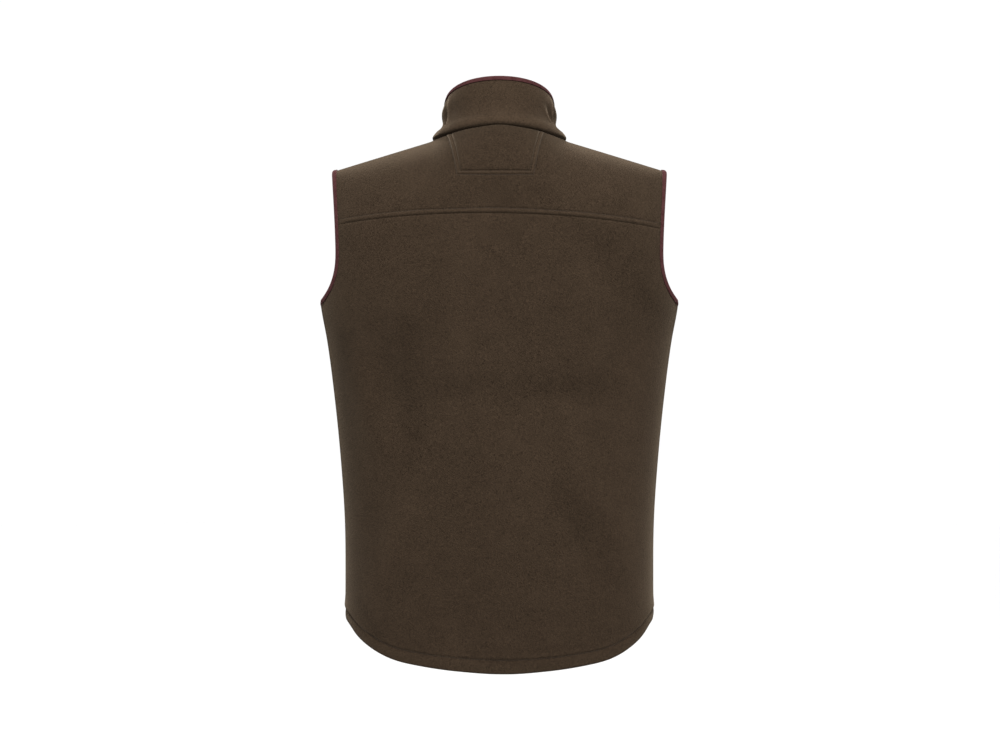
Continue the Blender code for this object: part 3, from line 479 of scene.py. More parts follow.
def sewn_wall(name, outer, inner, painted_relief_light, material, cells=None):
    """A panel of cloth as a closed wall: its outer face, its inner face, and rims round its edges."""
    rows, columns = outer.shape[:2]
    count = rows * columns
    row, place = np.meshgrid(np.arange(rows - 1), np.arange(columns - 1), indexing="ij")
    keep = np.ones(row.shape, bool) if cells is None else cells
    row, place = row[keep], place[keep]
    first = np.stack([row * columns + place, row * columns + place + 1], axis=1)
    faces = np.concatenate([first, first[:, ::-1] + columns], axis=1)
    edges = np.concatenate([faces[:, [corner, (corner + 1) % 4]] for corner in range(4)])
    raw = edges[~np.isin(edges @ (count, 1), edges @ (1, count))]
    rim = np.concatenate([raw[:, ::-1], raw + count], axis=1)
    faces = np.concatenate([faces, faces[:, ::-1] + count, rim])
    used, faces = np.unique(faces, return_inverse=True)
    points = np.concatenate([outer.reshape(-1, 3), inner.reshape(-1, 3)])[used]
    piece = new_piece(name, points, faces.reshape(-1, 4), material)
    # The colour's pile lay and painted light and shade from the strokes, plus the relief's painted highlight
    # and shade
    pile = pile_lay_and_painted_light(points) + np.concatenate([painted_relief_light.ravel(), np.zeros(count)])[used]
    piece.data.attributes.new("pile_lay_and_painted_light", "FLOAT", "POINT").data.foreach_set("value", pile)
    return piece


def swept(count, around, closed=False):
    """The faces of a run of rings of points, each ring this many points around, with flat ends."""
    ring, corner = np.meshgrid(np.arange(count if closed else count - 1), np.arange(around), indexing="ij")
    ring, corner = ring.ravel(), corner.ravel()
    low, high = ring * around, (ring + 1) % count * around
    beside = (corner + 1) % around
    faces = np.stack([low + corner, low + beside, high + beside, high + corner], axis=1)
    if closed:
        return faces
    low = np.arange(around // 2 - 1)
    end = np.stack([low, low + 1, around - 2 - low, around - 1 - low], axis=1)
    return np.concatenate([faces, end[:, ::-1], end + (count - 1) * around])


def new_piece(name, points, faces, material, smooth=True):
    """A mesh from arrays of points and four-sided faces, facing out."""
    mesh = bpy.data.meshes.new(name)
    mesh.from_pydata(points.tolist(), [], faces.tolist())
    corners = points[faces]
    normals = np.cross(corners[:, 2] - corners[:, 0], corners[:, 3] - corners[:, 1])
    if (corners.mean(axis=1) * normals).sum() < 0:
        mesh.flip_normals()
    if smooth:
        mesh.shade_smooth()
    mesh.materials.append(material)
    piece = bpy.data.objects.new(name, mesh)
    scene.collection.objects.link(piece)
    return piece


def stand_in(piece, node):
    """Puts a piece in the place of one of the gilet's solids, and hides the solid."""
    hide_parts(node)
    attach(piece, "gilet")


class Shade:
    """A value on its way through a material's nodes, so that shading can be written as sums."""

    def __init__(self, material, socket):
        self.material, self.socket = material, socket

    def maths(self, operation, first, second):
        return self.material.node("ShaderNodeMath", {"operation": operation}, first, second)

    def __add__(self, other):
        return self.maths("ADD", self, other)

    def __mul__(self, other):
        return self.maths("MULTIPLY", self, other)

    def __sub__(self, other):
        return self.maths("SUBTRACT", self, other)

    def __rsub__(self, other):
        return self.maths("SUBTRACT", other, self)

    __radd__ = __add__
    __rmul__ = __mul__

    def between(self, low, high):
        """0 at low and under, 1 at high and over."""
        settings = {"interpolation_type": "SMOOTHSTEP"}
        return self.material.node("ShaderNodeMapRange", settings, self, low, high)


class Finish:
    """A material being made, with its nodes linked as they are named."""

    def __init__(self, name, **sockets):
        self.made = bpy.data.materials.new(name)
        self.made.use_nodes = True
        self.tree = self.made.node_tree
        self.shader = self.tree.nodes["Principled BSDF"]
        for socket, value in sockets.items():
            self.shader.inputs[socket.replace("_", " ")].default_value = value

    def node(self, kind, settings, *values, output=0, **named):
        made = self.tree.nodes.new(kind)
        for name, value in settings.items():
            setattr(made, name, value)
        for place, value in [*enumerate(values), *named.items()]:
            socket = made.inputs[place.replace("_", " ") if isinstance(place, str) else place]
            self.join(value, socket)
        return Shade(self, made.outputs[output])

    def join(self, value, socket):
        if isinstance(value, Shade):
            self.tree.links.new(value.socket, socket)
        else:
            socket.default_value = value

    def place(self):
        """Where a point lies, in metres."""
        return self.node("ShaderNodeTexCoord", {}, output="Object")

    def grain(self, scale, detail, rough=0.5):
        """Soft noise about 1 / scale metres across, from 0 to 1."""
        sizes = {"Scale": scale, "Detail": detail, "Roughness": rough}
        return self.node("ShaderNodeTexNoise", {}, Vector=self.place(), **sizes)

    def mixed(self, share, first, second):
        mix = self.tree.nodes.new("ShaderNodeMix")
        mix.data_type = "RGBA"
        for name, value in (("Factor_Float", share), ("A_Color", first), ("B_Color", second)):
            self.join(value, next(slot for slot in mix.inputs if slot.identifier == name))
        return Shade(self, next(slot for slot in mix.outputs if slot.identifier == "Result_Color"))

    def scaled(self, colour, share):
        return self.node("ShaderNodeVectorMath", {"operation": "SCALE"}, colour, Scale=share)

    def colour(self, value):
        self.join(value, self.shader.inputs["Base Color"])

    def bumps(self, height, distance):
        bump = self.node("ShaderNodeBump", {}, output="Normal", Height=height, Distance=distance)
        self.join(bump, self.shader.inputs["Normal"])


def darker(colour, share):
    return (*(part * share for part in colour[:3]), 1.0)


# Fleece is a knit brushed up to a short pile. Its fibres clump a little, it shows paler where it is seen edge
# on, and it looks darker or paler along strokes: partly where hands and folds have laid the pile over, and
# partly painted light and shade of the drape's folds, the collar's roll and creases, and the edges.
NAP_COLOUR = (0.0104, 0.0070, 0.0045)
NAP_SHEEN = 0.10
NAP_SHEEN_TINT = (0.60, 0.47, 0.34, 1.0)
PILE_SCALE = 1050
CLUMP_SCALE = 460
PATCH_SCALE = 46

# Where each stroke starts and ends, its half width, and how much paler it is. Besides the pile's lay, the
# strokes
# paint light and shade: of the folds, under and on the collar's roll, on its creases, and along the edges
BACK_STROKES = table(
    MARK,
    (0.115, -0.251, 0.111, -0.418, 0.017, -0.13),
    (0.147, -0.283, 0.144, -0.328, 0.023, -0.07),
    (0.080, -0.328, 0.010, -0.328, 0.016, -0.08),
    (-0.016, -0.329, -0.158, -0.332, 0.017, -0.12),
    (-0.014, -0.100, -0.020, -0.177, 0.017, -0.07),
    (-0.114, -0.131, -0.210, -0.234, 0.021, -0.12),
    (-0.181, -0.169, -0.194, -0.218, 0.012, -0.06),
    (-0.073, -0.455, -0.145, -0.570, 0.021, -0.13),
    (0.048, -0.450, 0.017, -0.605, 0.039, -0.07),
    (0.185, -0.463, 0.182, -0.592, 0.015, -0.08),
    (0.186, -0.613, 0.156, -0.656, 0.008, -0.12),
    (0.012, -0.685, -0.073, -0.686, 0.006, -0.12),
    (0.087, -0.180, 0.084, -0.257, 0.015, -0.05),
    (0.040, -0.131, 0.040, -0.164, 0.017, 0.09),
    (0.051, -0.205, 0.049, -0.306, 0.010, 0.08),
    (-0.006, -0.247, -0.010, -0.316, 0.009, 0.08),
    (-0.101, -0.156, -0.140, -0.283, 0.013, 0.07),
    (-0.086, -0.354, -0.145, -0.483, 0.012, 0.07),
    (-0.001, -0.379, -0.059, -0.448, 0.019, 0.07),
    (0.113, -0.483, 0.172, -0.605, 0.015, 0.10),
    (-0.173, -0.508, -0.184, -0.615, 0.017, 0.08),
    (-0.181, -0.257, -0.194, -0.321, 0.021, 0.05),
    (0.193, -0.218, 0.187, -0.276, 0.021, 0.05),
    (0.057, -0.641, 0.056, -0.669, 0.010, 0.08),
    (-0.166, -0.320, -0.166, -0.560, 0.020, 0.08),
    # painted shade down the left edge, against its bright rim
    (0.208, -0.270, 0.206, -0.640, 0.015, -0.30),
    (0.205, -0.061, 0.198, -0.100, 0.019, 0.08),
    (-0.189, -0.061, -0.194, -0.095, 0.018, 0.05),
    (0.038, -0.066, -0.059, -0.066, 0.018, -0.06),
    (0.118, -0.025, 0.113, -0.066, 0.018, 0.05),
    (-0.117, -0.025, -0.130, -0.064, 0.015, 0.05),
    # painted shadow under the collar's roll
    (-0.050, 0.004, 0.060, 0.004, 0.012, -0.08),
    # painted highlight along the top of the collar's roll
    (0.002, 0.0200, 0.050, 0.0160, 0.0045, 0.25),
    (-0.002, 0.0200, -0.050, 0.0160, 0.0045, 0.25),
    # painted highlights on the ridges of the collar's left crease
    (0.0687, 0.0485, 0.0676, 0.0340, 0.0013, 0.45),
    (0.0676, 0.0340, 0.0739, 0.0126, 0.0013, 0.40),
    # painted shade on the collar's left sliver beyond the crease, which faces away from the light
    (0.0742, 0.0450, 0.0752, 0.0180, 0.0030, -0.22),
    # painted highlights on the ridges of the collar's right creases
    (-0.0702, 0.0474, -0.0704, 0.0330, 0.0011, 0.35),
    (-0.0704, 0.0330, -0.0749, 0.0133, 0.0011, 0.45),
    (-0.0617, 0.0332, -0.0749, 0.0124, 0.0012, 0.30),
    # painted shade in the collar's right creases and on the sliver beyond them
    (-0.0672, 0.0330, -0.0705, 0.0235, 0.0022, -0.20),
    (-0.0738, 0.0460, -0.0762, 0.0180, 0.0020, -0.32),
)
# The fronts' strokes likewise paint light and shade of the folds, as well as the pile's lay
FRONT_STROKES = table(
    MARK,
    (0.120, -0.150, 0.150, -0.260, 0.022, -0.08),
    (-0.110, -0.180, -0.150, -0.300, 0.020, -0.10),
    (0.060, -0.330, 0.150, -0.345, 0.014, -0.10),
    (-0.060, -0.420, -0.130, -0.500, 0.018, -0.09),
    (0.085, -0.470, 0.100, -0.590, 0.024, -0.07),
    (0.050, -0.120, 0.060, -0.220, 0.014, 0.07),
    (-0.060, -0.250, -0.055, -0.350, 0.012, 0.07),
    (0.160, -0.420, 0.135, -0.560, 0.016, 0.08),
    (-0.165, -0.480, -0.150, -0.600, 0.018, 0.07),
    (-0.120, -0.090, -0.150, -0.140, 0.018, 0.06),
)


def pile_lay_and_painted_light(points):
    """How much paler or darker the colour is at these points, for the way the pile lies and for painted light
    and shade.
    """
    x, height, back = points[..., 0], points[..., 2], points[..., 1] >= 0
    total = np.zeros(x.shape)
    for on_back, strokes in ((True, BACK_STROKES), (False, FRONT_STROKES)):
        for stroke in strokes:
            along, aside, long = beside_mark(stroke, x, height)
            past = np.maximum(np.maximum(-along, along - long), 0)
            near = np.exp(-(aside**2 + past**2) / stroke.half_width**2)
            total = total + np.where(back == on_back, stroke.change * near, 0)
    return total


def brushed_fleece(name, lift=1.0):
    """The fleece of one panel; lift above 1 paints it paler and below 1 darker: painted light and shade for
    how the light falls on that panel.
    """
    cloth = Finish(
        name,
        Roughness=0.95,
        Sheen_Weight=NAP_SHEEN,
        Sheen_Roughness=0.45,
        Sheen_Tint=NAP_SHEEN_TINT,
        Specular_IOR_Level=0.0,
    )
    pile = cloth.grain(PILE_SCALE, 2.0, 0.65)
    clumps = cloth.grain(CLUMP_SCALE, 4.0, 0.6)
    patches = cloth.grain(PATCH_SCALE, 3.0)
    # The strokes' painted light and shade, with the pile's lay, read at each point
    lay_and_painted_light = cloth.node("ShaderNodeAttribute", {"attribute_name": "pile_lay_and_painted_light"}, output="Fac")
    shade = lift + lay_and_painted_light + (pile - 0.5) * 3.6 + (clumps - 0.5) * 1.1 + (patches - 0.5) * 0.3
    cloth.colour(cloth.scaled(NAP_COLOUR, shade))
    cloth.bumps(pile * 0.5 + clumps * 0.6, 0.0008)
    return cloth.made


STITCH_SECTION = table(
    "along thick",
    (0.00, 0.35),
    (0.12, 0.85),
    (0.50, 1.00),
    (0.88, 0.85),
    (1.00, 0.35),
)
STITCH_SIDES = 6
Thread = namedtuple("Thread", "colour long gap thick sunk")


def stitches(name, points, out, thread):
    """A row of stitches along a line of points on the cloth, each a short rounded run of thread."""
    away = along_line(points)
    starts = np.arange(thread.gap / 2, away[-1] - thread.long, thread.long + thread.gap)
    rings = []
    for along, size in STITCH_SECTION:  # from one end of each stitch to the other
        at = starts + along * thread.long
        centre = read_along(away, points, at)
        normal = unit(read_along(away, out, at))
        side = np.cross(unit(read_along(away, points, at + 1e-4) - centre), normal)
        lift = thread.thick * 0.5 * (1 - (2 * along - 1) ** 2) - thread.sunk
        for turn in np.radians(np.arange(STITCH_SIDES) * 360 / STITCH_SIDES):
            offset = side * math.cos(turn) + normal * math.sin(turn)
            rings.append(centre + normal * lift + offset * thread.thick / 2 * size)
    corners = np.stack(rings, axis=1).reshape(-1, 3)
    step = np.arange(len(starts))[:, None, None] * len(rings)
    faces = (swept(len(STITCH_SECTION), STITCH_SIDES) + step).reshape(-1, 4)
    yarn = Finish(name, Roughness=0.7, Specular_IOR_Level=0.1)
    yarn.colour(yarn.mixed(yarn.grain(2600, 1.0), thread.colour, darker(thread.colour, 0.6)))
    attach(new_piece(name, corners, faces, yarn.made), "gilet")


# The back's columns, and its rows, which lie close together at its seams, its armholes and its hem
COLUMNS_ACROSS = 150
COLUMN_BEND = 0.97
COLUMNS_AT_EDGE = np.array([4, 12, 24, 40, 65]) * 1e-4 / 0.30
SEAM_TO_UNDERARM = 0.106
ROWS_AT_SEAM = np.array([0, 3, 7, 12, 18, 26, 36, 50, 70, 95]) * 1e-4 / SEAM_TO_UNDERARM
ROWS_BESIDE_ARMHOLE = np.linspace(0.0125 / SEAM_TO_UNDERARM, 1, 34)
ROWS_IN_BODY = np.linspace(0, 1, 60)[1:-1]
ROWS_AT_FOLD = np.array([120, 100, 80, 62, 46, 33, 23, 15, 8, 3, -3, -9, -16]) * 1e-4
ROWS_IN_HEM = (0.17, 0.25, 0.34, 0.44, 0.54, 0.64, 0.73, 0.81, 0.88, 0.93, 0.965, 0.99, 1.0)
STITCHED_AT_FOLD = 9
BACK_HALF_ROUND = 0.29
SIDE_SEAM_ROW = len(ROWS_AT_SEAM) + len(ROWS_BESIDE_ARMHOLE)
HEM_STITCH_ROW = SIDE_SEAM_ROW + len(ROWS_IN_BODY) + STITCHED_AT_FOLD


def make_back_body():
    across = np.sin(np.linspace(-1, 1, COLUMNS_ACROSS) * COLUMN_BEND) / math.sin(COLUMN_BEND)
    across = np.unique(np.concatenate([across, 1 - COLUMNS_AT_EDGE, COLUMNS_AT_EDGE - 1]))
    dip = UNDERARM_DIP * dip_to_armhole(across)
    heights, angles = [], []
    for share in np.concatenate([ROWS_AT_SEAM, ROWS_BESIDE_ARMHOLE]):
        left, right = (armhole_edge(share, yoke_seam(x) + HALF_BITE, True) for x in (YOKE_HALF, -YOKE_HALF))
        edge_turn, edge_height = (np.where(across >= 0, *ends) for ends in zip(left, right))
        turn = across * (math.pi / 2 - edge_turn)
        centre = YOKE_SEAM_HEIGHT + (BACK_UNDERARM - YOKE_SEAM_HEIGHT) * share
        height = centre + (edge_height - centre) * across**2 - dip * share**2
        if share == 0:
            plain_row = seam_row = height
            for _ in range(4):
                seam_row = yoke_seam(at_height(turn, seam_row)[..., 0]) + HALF_BITE
        heights.append(height + (seam_row - plain_row) * max(1 - share * 8, 0))
        angles.append(turn)
    body_angle = across * (math.pi / 2 + HALF_BITE / SIDE_RADIUS)
    hem_row, fold_row, turning = hem_rows(body_angle)
    underarm_row = heights[-1]
    body_foot = fold_row + ROWS_AT_FOLD[0]
    heights += [underarm_row + (body_foot - underarm_row) * share for share in ROWS_IN_BODY]
    heights += [fold_row + above for above in ROWS_AT_FOLD]
    heights += [fold_row - turning * down for down in ROWS_IN_HEM]
    angles += [body_angle] * (len(heights) - len(angles))
    heights = np.array(heights)
    points, out = skin_at_height(np.array(angles), heights)
    from_side = (1 - np.abs(across)) * BACK_HALF_ROUND
    on_side = heights < ARMHOLE_BOTTOM + 0.002
    relief = seam_relief(seam_row - heights) * off_the_armhole(across)
    relief += np.where(on_side, seam_relief(from_side), 0)
    relief += hem_relief(points[..., 0], heights - fold_row, heights - hem_row)
    return panel_faces(points, out, relief, hem_wall(heights - fold_row, heights - hem_row))


back_outer, back_inner, back_painted_light = make_back_body()
back_fleece = brushed_fleece("lower_back_fleece")
lower_back = sewn_wall("lower_back", back_outer, back_inner, back_painted_light, back_fleece)
stand_in(lower_back, "back_body")


# The yoke is one panel from the back seam over both shoulders. Its lower edge is lapped over the back and
# topstitched. It is cut away for the trapezoid panel under the collar, round which it makes a raised welt.

NECK_HALF_WIDTH = 0.0862
NECK_BACK = 0.0812
NECK_FRONT = 0.0815
SHOULDER_SEAM_FORWARD = 0.018
YOKE_WELT = 0.0076
PANEL_WELT = 0.0063
STITCHES_INSIDE = 0.0007
WELT_HIGH = 0.0009
UPRIGHT_SHADE = 0.22
PANEL_BOTTOM = -0.0512
PANEL_HALF_BOTTOM = 0.0450
PANEL_HALF_TOP = 0.0588
PANEL_SHIFT = 0.0053
DRAWN_TO_SEAM = 0.012
YOKE_HALF_LEVEL = 0.2165
YOKE_SHARES = (0, 0.10, 0.21, 0.33, 0.46, 0.60, 0.76, 0.93, 1)

# The yoke's columns, counted from the panel's middle
PANEL_EDGE = 4
WELT_EDGE = 7
NECK_CORNER = 11
ARMHOLE_COLUMN = 15
WELT_STITCH_COLUMN = 6.67

CLOSE_TO_SEAM = np.array([0, 3, 7, 12, 18, 26, 35, 44, 52, 59, 64, 69, 74, 80, 87, 96, 107, 120]) * 1e-4
WELT_STEPS = PANEL_EDGE + np.array([0.10, 0.28, 0.5, 0.8, 1.15, 1.5, 1.85, 2.15, 2.4, 2.58, 2.72, 2.85, 3])
FAR_STEPS = (7.15, 7.35, 7.65, *np.linspace(8, 14.6, 44), 14.75, 14.86, 14.94, 14.98, 15)
CLOSE_TO_TOP = 1 - np.array([0.05, 0.036, 0.025, 0.016, 0.009, 0.004, 0])
PAINTED_LINE_HALF_WIDTH = 0.0012


def neck_edge(round_angle, larger=0.0):
    """x and the way over the shoulder of the neckline, by its angle round from the centre back."""
    x = (NECK_HALF_WIDTH + larger) * np.sin(round_angle)
    back = np.cos(round_angle) >= 0
    y = np.where(back, NECK_BACK + larger, NECK_FRONT + larger) * np.abs(np.cos(round_angle))
    over = y
    for _ in range(6):
        height = over_shoulder(x, np.where(back, over, -over))[..., 2]
        over = rounding(back) * np.arcsin(np.clip(y / full_depth(x, height, back), 0, 1))
    return x, np.where(back, over, -over)


def neck_corner():
    """The angle round from the centre back where the shoulder seam meets the neckline."""
    corner = math.pi / 2
    for _ in range(12):
        corner += (float(neck_edge(np.array(corner))[1]) + SHOULDER_SEAM_FORWARD) / 0.22
    return corner


def beside_panel(columns, panel_half, edge):
    """x across a row of the yoke: over the panel, over the welt beside it, and on to the armholes."""
    steps, side = np.abs(columns), np.where(columns >= 0, 1, -1)
    welt = panel_half + PANEL_WELT * (steps - PANEL_EDGE) / (WELT_EDGE - PANEL_EDGE)
    share = smooth_through(steps - WELT_EDGE, np.arange(len(YOKE_SHARES)), YOKE_SHARES)
    far = panel_half + PANEL_WELT + (edge - side * PANEL_SHIFT - panel_half - PANEL_WELT) * share
    beyond = np.where(steps <= WELT_EDGE, welt, far)
    return PANEL_SHIFT + side * np.where(steps <= PANEL_EDGE, panel_half * steps / PANEL_EDGE, beyond)


def neckline_row(columns, forward):
    """x and the way over of the yoke's top edge: the neckline, then the shoulder seams."""
    steps, side = np.abs(columns), np.where(columns >= 0, 1, -1)
    over_welt = beside_panel(np.clip(columns, -WELT_EDGE, WELT_EDGE), PANEL_HALF_TOP, 0.2)
    middle = np.arcsin(over_welt / NECK_HALF_WIDTH)
    share = np.clip((steps - WELT_EDGE) / (NECK_CORNER - WELT_EDGE), 0, 1)
    turn = middle + (side * neck_corner() - middle) * share
    x, over = neck_edge(turn)
    corner_x = float(neck_edge(np.array(neck_corner()))[0])
    run_out = np.clip((steps - NECK_CORNER) / (ARMHOLE_COLUMN - NECK_CORNER), 0, 1)
    x = np.where(steps > NECK_CORNER, side * (corner_x + (ARMHOLE_SHOULDER_EDGE - corner_x) * run_out), x)
    return x, np.where(steps >= NECK_CORNER, forward, over)


def welt(distance, wide):
    """The raised, topstitched edge of a lapped seam, by the distance from the seam."""
    puff = WELT_HIGH * np.sin(math.pi * np.clip(distance / (wide - STITCHES_INSIDE), 0, 1)) ** 0.7
    return into_seam(distance) * 0.8 + puff + dimple(distance - wide + STITCHES_INSIDE)


def make_back_yoke():
    side_steps = np.concatenate([[PANEL_EDGE], WELT_STEPS, FAR_STEPS])
    inside_steps = np.linspace(-PANEL_EDGE, PANEL_EDGE, 41)[1:-1]
    columns = np.concatenate([-side_steps[::-1], inside_steps, side_steps])

    seam_x = beside_panel(columns, PANEL_HALF_BOTTOM - DRAWN_TO_SEAM, YOKE_HALF)
    seam_x[0] = -armhole_x(yoke_seam(-YOKE_HALF), True)
    seam_x[-1] = armhole_x(yoke_seam(YOKE_HALF), True)
    seam_over = way_over(seam_x, yoke_seam(seam_x) - HALF_BITE, True)
    panel_x = beside_panel(columns, PANEL_HALF_BOTTOM, YOKE_HALF_LEVEL)
    outward = np.clip((np.abs(panel_x) - 0.05) / 0.165, 0, 1)
    panel_over = way_over(panel_x, PANEL_BOTTOM - 0.030 * outward**1.5, True)
    top_x, top_over = neckline_row(columns, -SHOULDER_SEAM_FORWARD - HALF_BITE)

    deep = seam_over - panel_over
    shares = [close / deep for close in CLOSE_TO_SEAM]
    last = CLOSE_TO_SEAM[-1]
    shares += [(last + (deep - 2 * last) * step) / deep for step in np.linspace(0, 1, 14)[1:-1]]
    shares += [1 - close / deep for close in CLOSE_TO_SEAM[::-1]]
    xs = [seam_x + (panel_x - seam_x) * share for share in shares]
    overs = [seam_over + (panel_over - seam_over) * share for share in shares]
    below = [deep * (1 - share) for share in shares]
    panel_row = len(xs) - 1
    upper = np.concatenate([np.linspace(0, 0.93, 34)[1:], CLOSE_TO_TOP])
    for share in upper:
        xs.append(panel_x + (top_x - panel_x) * share)
        overs.append(panel_over + (top_over - panel_over) * share)
        below.append(np.full(columns.shape, -0.05))
    xs, overs, below = np.array(xs), np.array(overs), np.array(below)
    for side, end in ((-1, 0), (1, -1)):
        for _ in range(3):
            height = over_shoulder(xs[1:, end], overs[1:, end])[..., 2]
            move = side * armhole_x(height, True) - xs[1:, end]
            share = np.clip((side * xs[1:] - 0.12) / (np.abs(xs[1:, end, None]) - 0.12), 0, 1)
            xs[1:] += move[:, None] * share

    points, out = skin_over_shoulder(xs, overs)
    beside = (np.abs(columns) - PANEL_EDGE) * PANEL_WELT / (WELT_EDGE - PANEL_EDGE)
    from_panel = np.maximum(beside, below)
    from_seam = np.maximum(seam_over - overs, 0)
    from_top = np.full(xs.shape, 1.0)
    from_top[panel_row:] = (1 - np.concatenate([[0], upper]))[:, None] * np.abs(panel_over - top_over)
    off_edge = off_the_armhole(xs / np.abs(xs[:, -1:]))
    relief = welt(from_seam, YOKE_WELT) * off_edge
    round_panel = np.where(from_panel < 0.02, welt(np.abs(from_panel), PANEL_WELT), 0)
    relief += round_panel * np.clip(from_top / 0.006, 0, 1)
    relief += seam_relief(from_top, 0.7) * off_edge
    outer, inner, painted_relief_light = panel_faces(points, out, relief)
    rows = np.arange(len(xs) - 1)[:, None]
    places = columns[:-1]
    panel_gap = (rows >= panel_row) & (places >= -PANEL_EDGE) & (places < PANEL_EDGE)

    inside = np.abs(columns) <= PANEL_EDGE
    to_side = np.sign(columns[inside]) * (np.abs(columns[inside]) == PANEL_EDGE)
    panel_xs = xs[panel_row:, inside] + to_side * SEAM_BITE
    panel_overs = overs[panel_row:, inside]
    panel_overs[0] += SEAM_BITE
    panel_made = (panel_xs, panel_overs, columns[inside], upper)
    # Painted shade along the welt's upright seam and stitch lines beside the panel, which light from above
    # leaves pale
    stitched = PANEL_WELT - STITCHES_INSIDE
    lines = sum(bump(beside - line, PAINTED_LINE_HALF_WIDTH) for line in (0, stitched))
    painted_relief_light -= UPRIGHT_SHADE * lines * (below < 0)
    return outer, inner, painted_relief_light, ~panel_gap, columns, panel_row, panel_made


yoke_outer, yoke_inner, yoke_painted_light, yoke_cells, yoke_columns, YOKE_PANEL_ROW, panel_made = make_back_yoke()
# The yoke's fleece a little darker: painted shade
yoke_fleece = brushed_fleece("yoke_fleece", 0.98)
yoke = sewn_wall("yoke", yoke_outer, yoke_inner, yoke_painted_light, yoke_fleece, yoke_cells)
stand_in(yoke, "back_yoke")


# The neck panel fills the trapezoid gap in the yoke, its edges rolled down into the seam.

PANEL_LONG = 0.075


def make_neck_panel():
    panel_xs, panel_overs, panel_columns, panel_shares = panel_made
    points, out = skin_over_shoulder(panel_xs, panel_overs)
    from_bottom = np.concatenate([[0], panel_shares])[:, None] * PANEL_LONG
    from_side = (PANEL_EDGE - np.abs(panel_columns)) * PANEL_HALF_BOTTOM / PANEL_EDGE
    from_edge = np.minimum(np.minimum(from_bottom, from_side), PANEL_LONG - from_bottom + 0.0004)
    return panel_faces(points, out, seam_relief(from_edge, 0.8, 0.6))


# The neck panel's fleece darker: painted shadow under the collar's roll
neck_panel = sewn_wall("neck_panel_cloth", *make_neck_panel(), brushed_fleece("neck_panel_fleece", 0.90))
stand_in(neck_panel, "neck_panel")


# The two fronts run from the hem to the shoulder seams. Their inner edges are turned under and topstitched
# to the zip.

FRONT_EDGE = 0.007
FRONT_NECK_TOP = -0.105
FRONT_UNDERARM = -0.200
ZIP_STITCH_AWAY = 0.0062

# A front's columns from the zip to the side, and its rows up to the underarm and over the shoulder
FRONT_WIDE = 0.24
FRONT_HALF_ROUND = 0.25
FRONT_WIDE_AT_NECK = 0.14
COLUMNS_AT_ZIP = np.array([0, 4, 9, 15, 22, 30, 40, 50, 56, 62, 68, 75, 85, 100]) * 1e-4 / FRONT_WIDE
COLUMNS_BETWEEN = 1 - (1 - np.linspace(0, 1, 84)[4:77]) ** 1.2
COLUMNS_AT_SIDE = 1 - np.array([90, 55, 36, 22, 12, 4, 0]) * 1e-4 / FRONT_WIDE
UP_THE_HEM = (0, 0.01, 0.035, 0.07, 0.12, 0.19, 0.27, 0.36, 0.46, 0.56, 0.66, 0.75, 0.83, 0.90, 0.95, 1)
ABOVE_FOLD = np.array([4, 10, 18, 28, 40, 54, 70, 90, 120]) * 1e-4
UP_THE_BODY = np.linspace(0, 1, 56)[1:]
UP_THE_ARMHOLE = np.linspace(0, 7 / 8, 22)[1:]
UP_THE_SHOULDER = np.concatenate([np.linspace(0, 0.9, 19), 1 - np.array([70, 50, 34, 20, 10, 4, 0]) * 1e-3])
FRONT_HEM_ROW = len(UP_THE_HEM) - 1


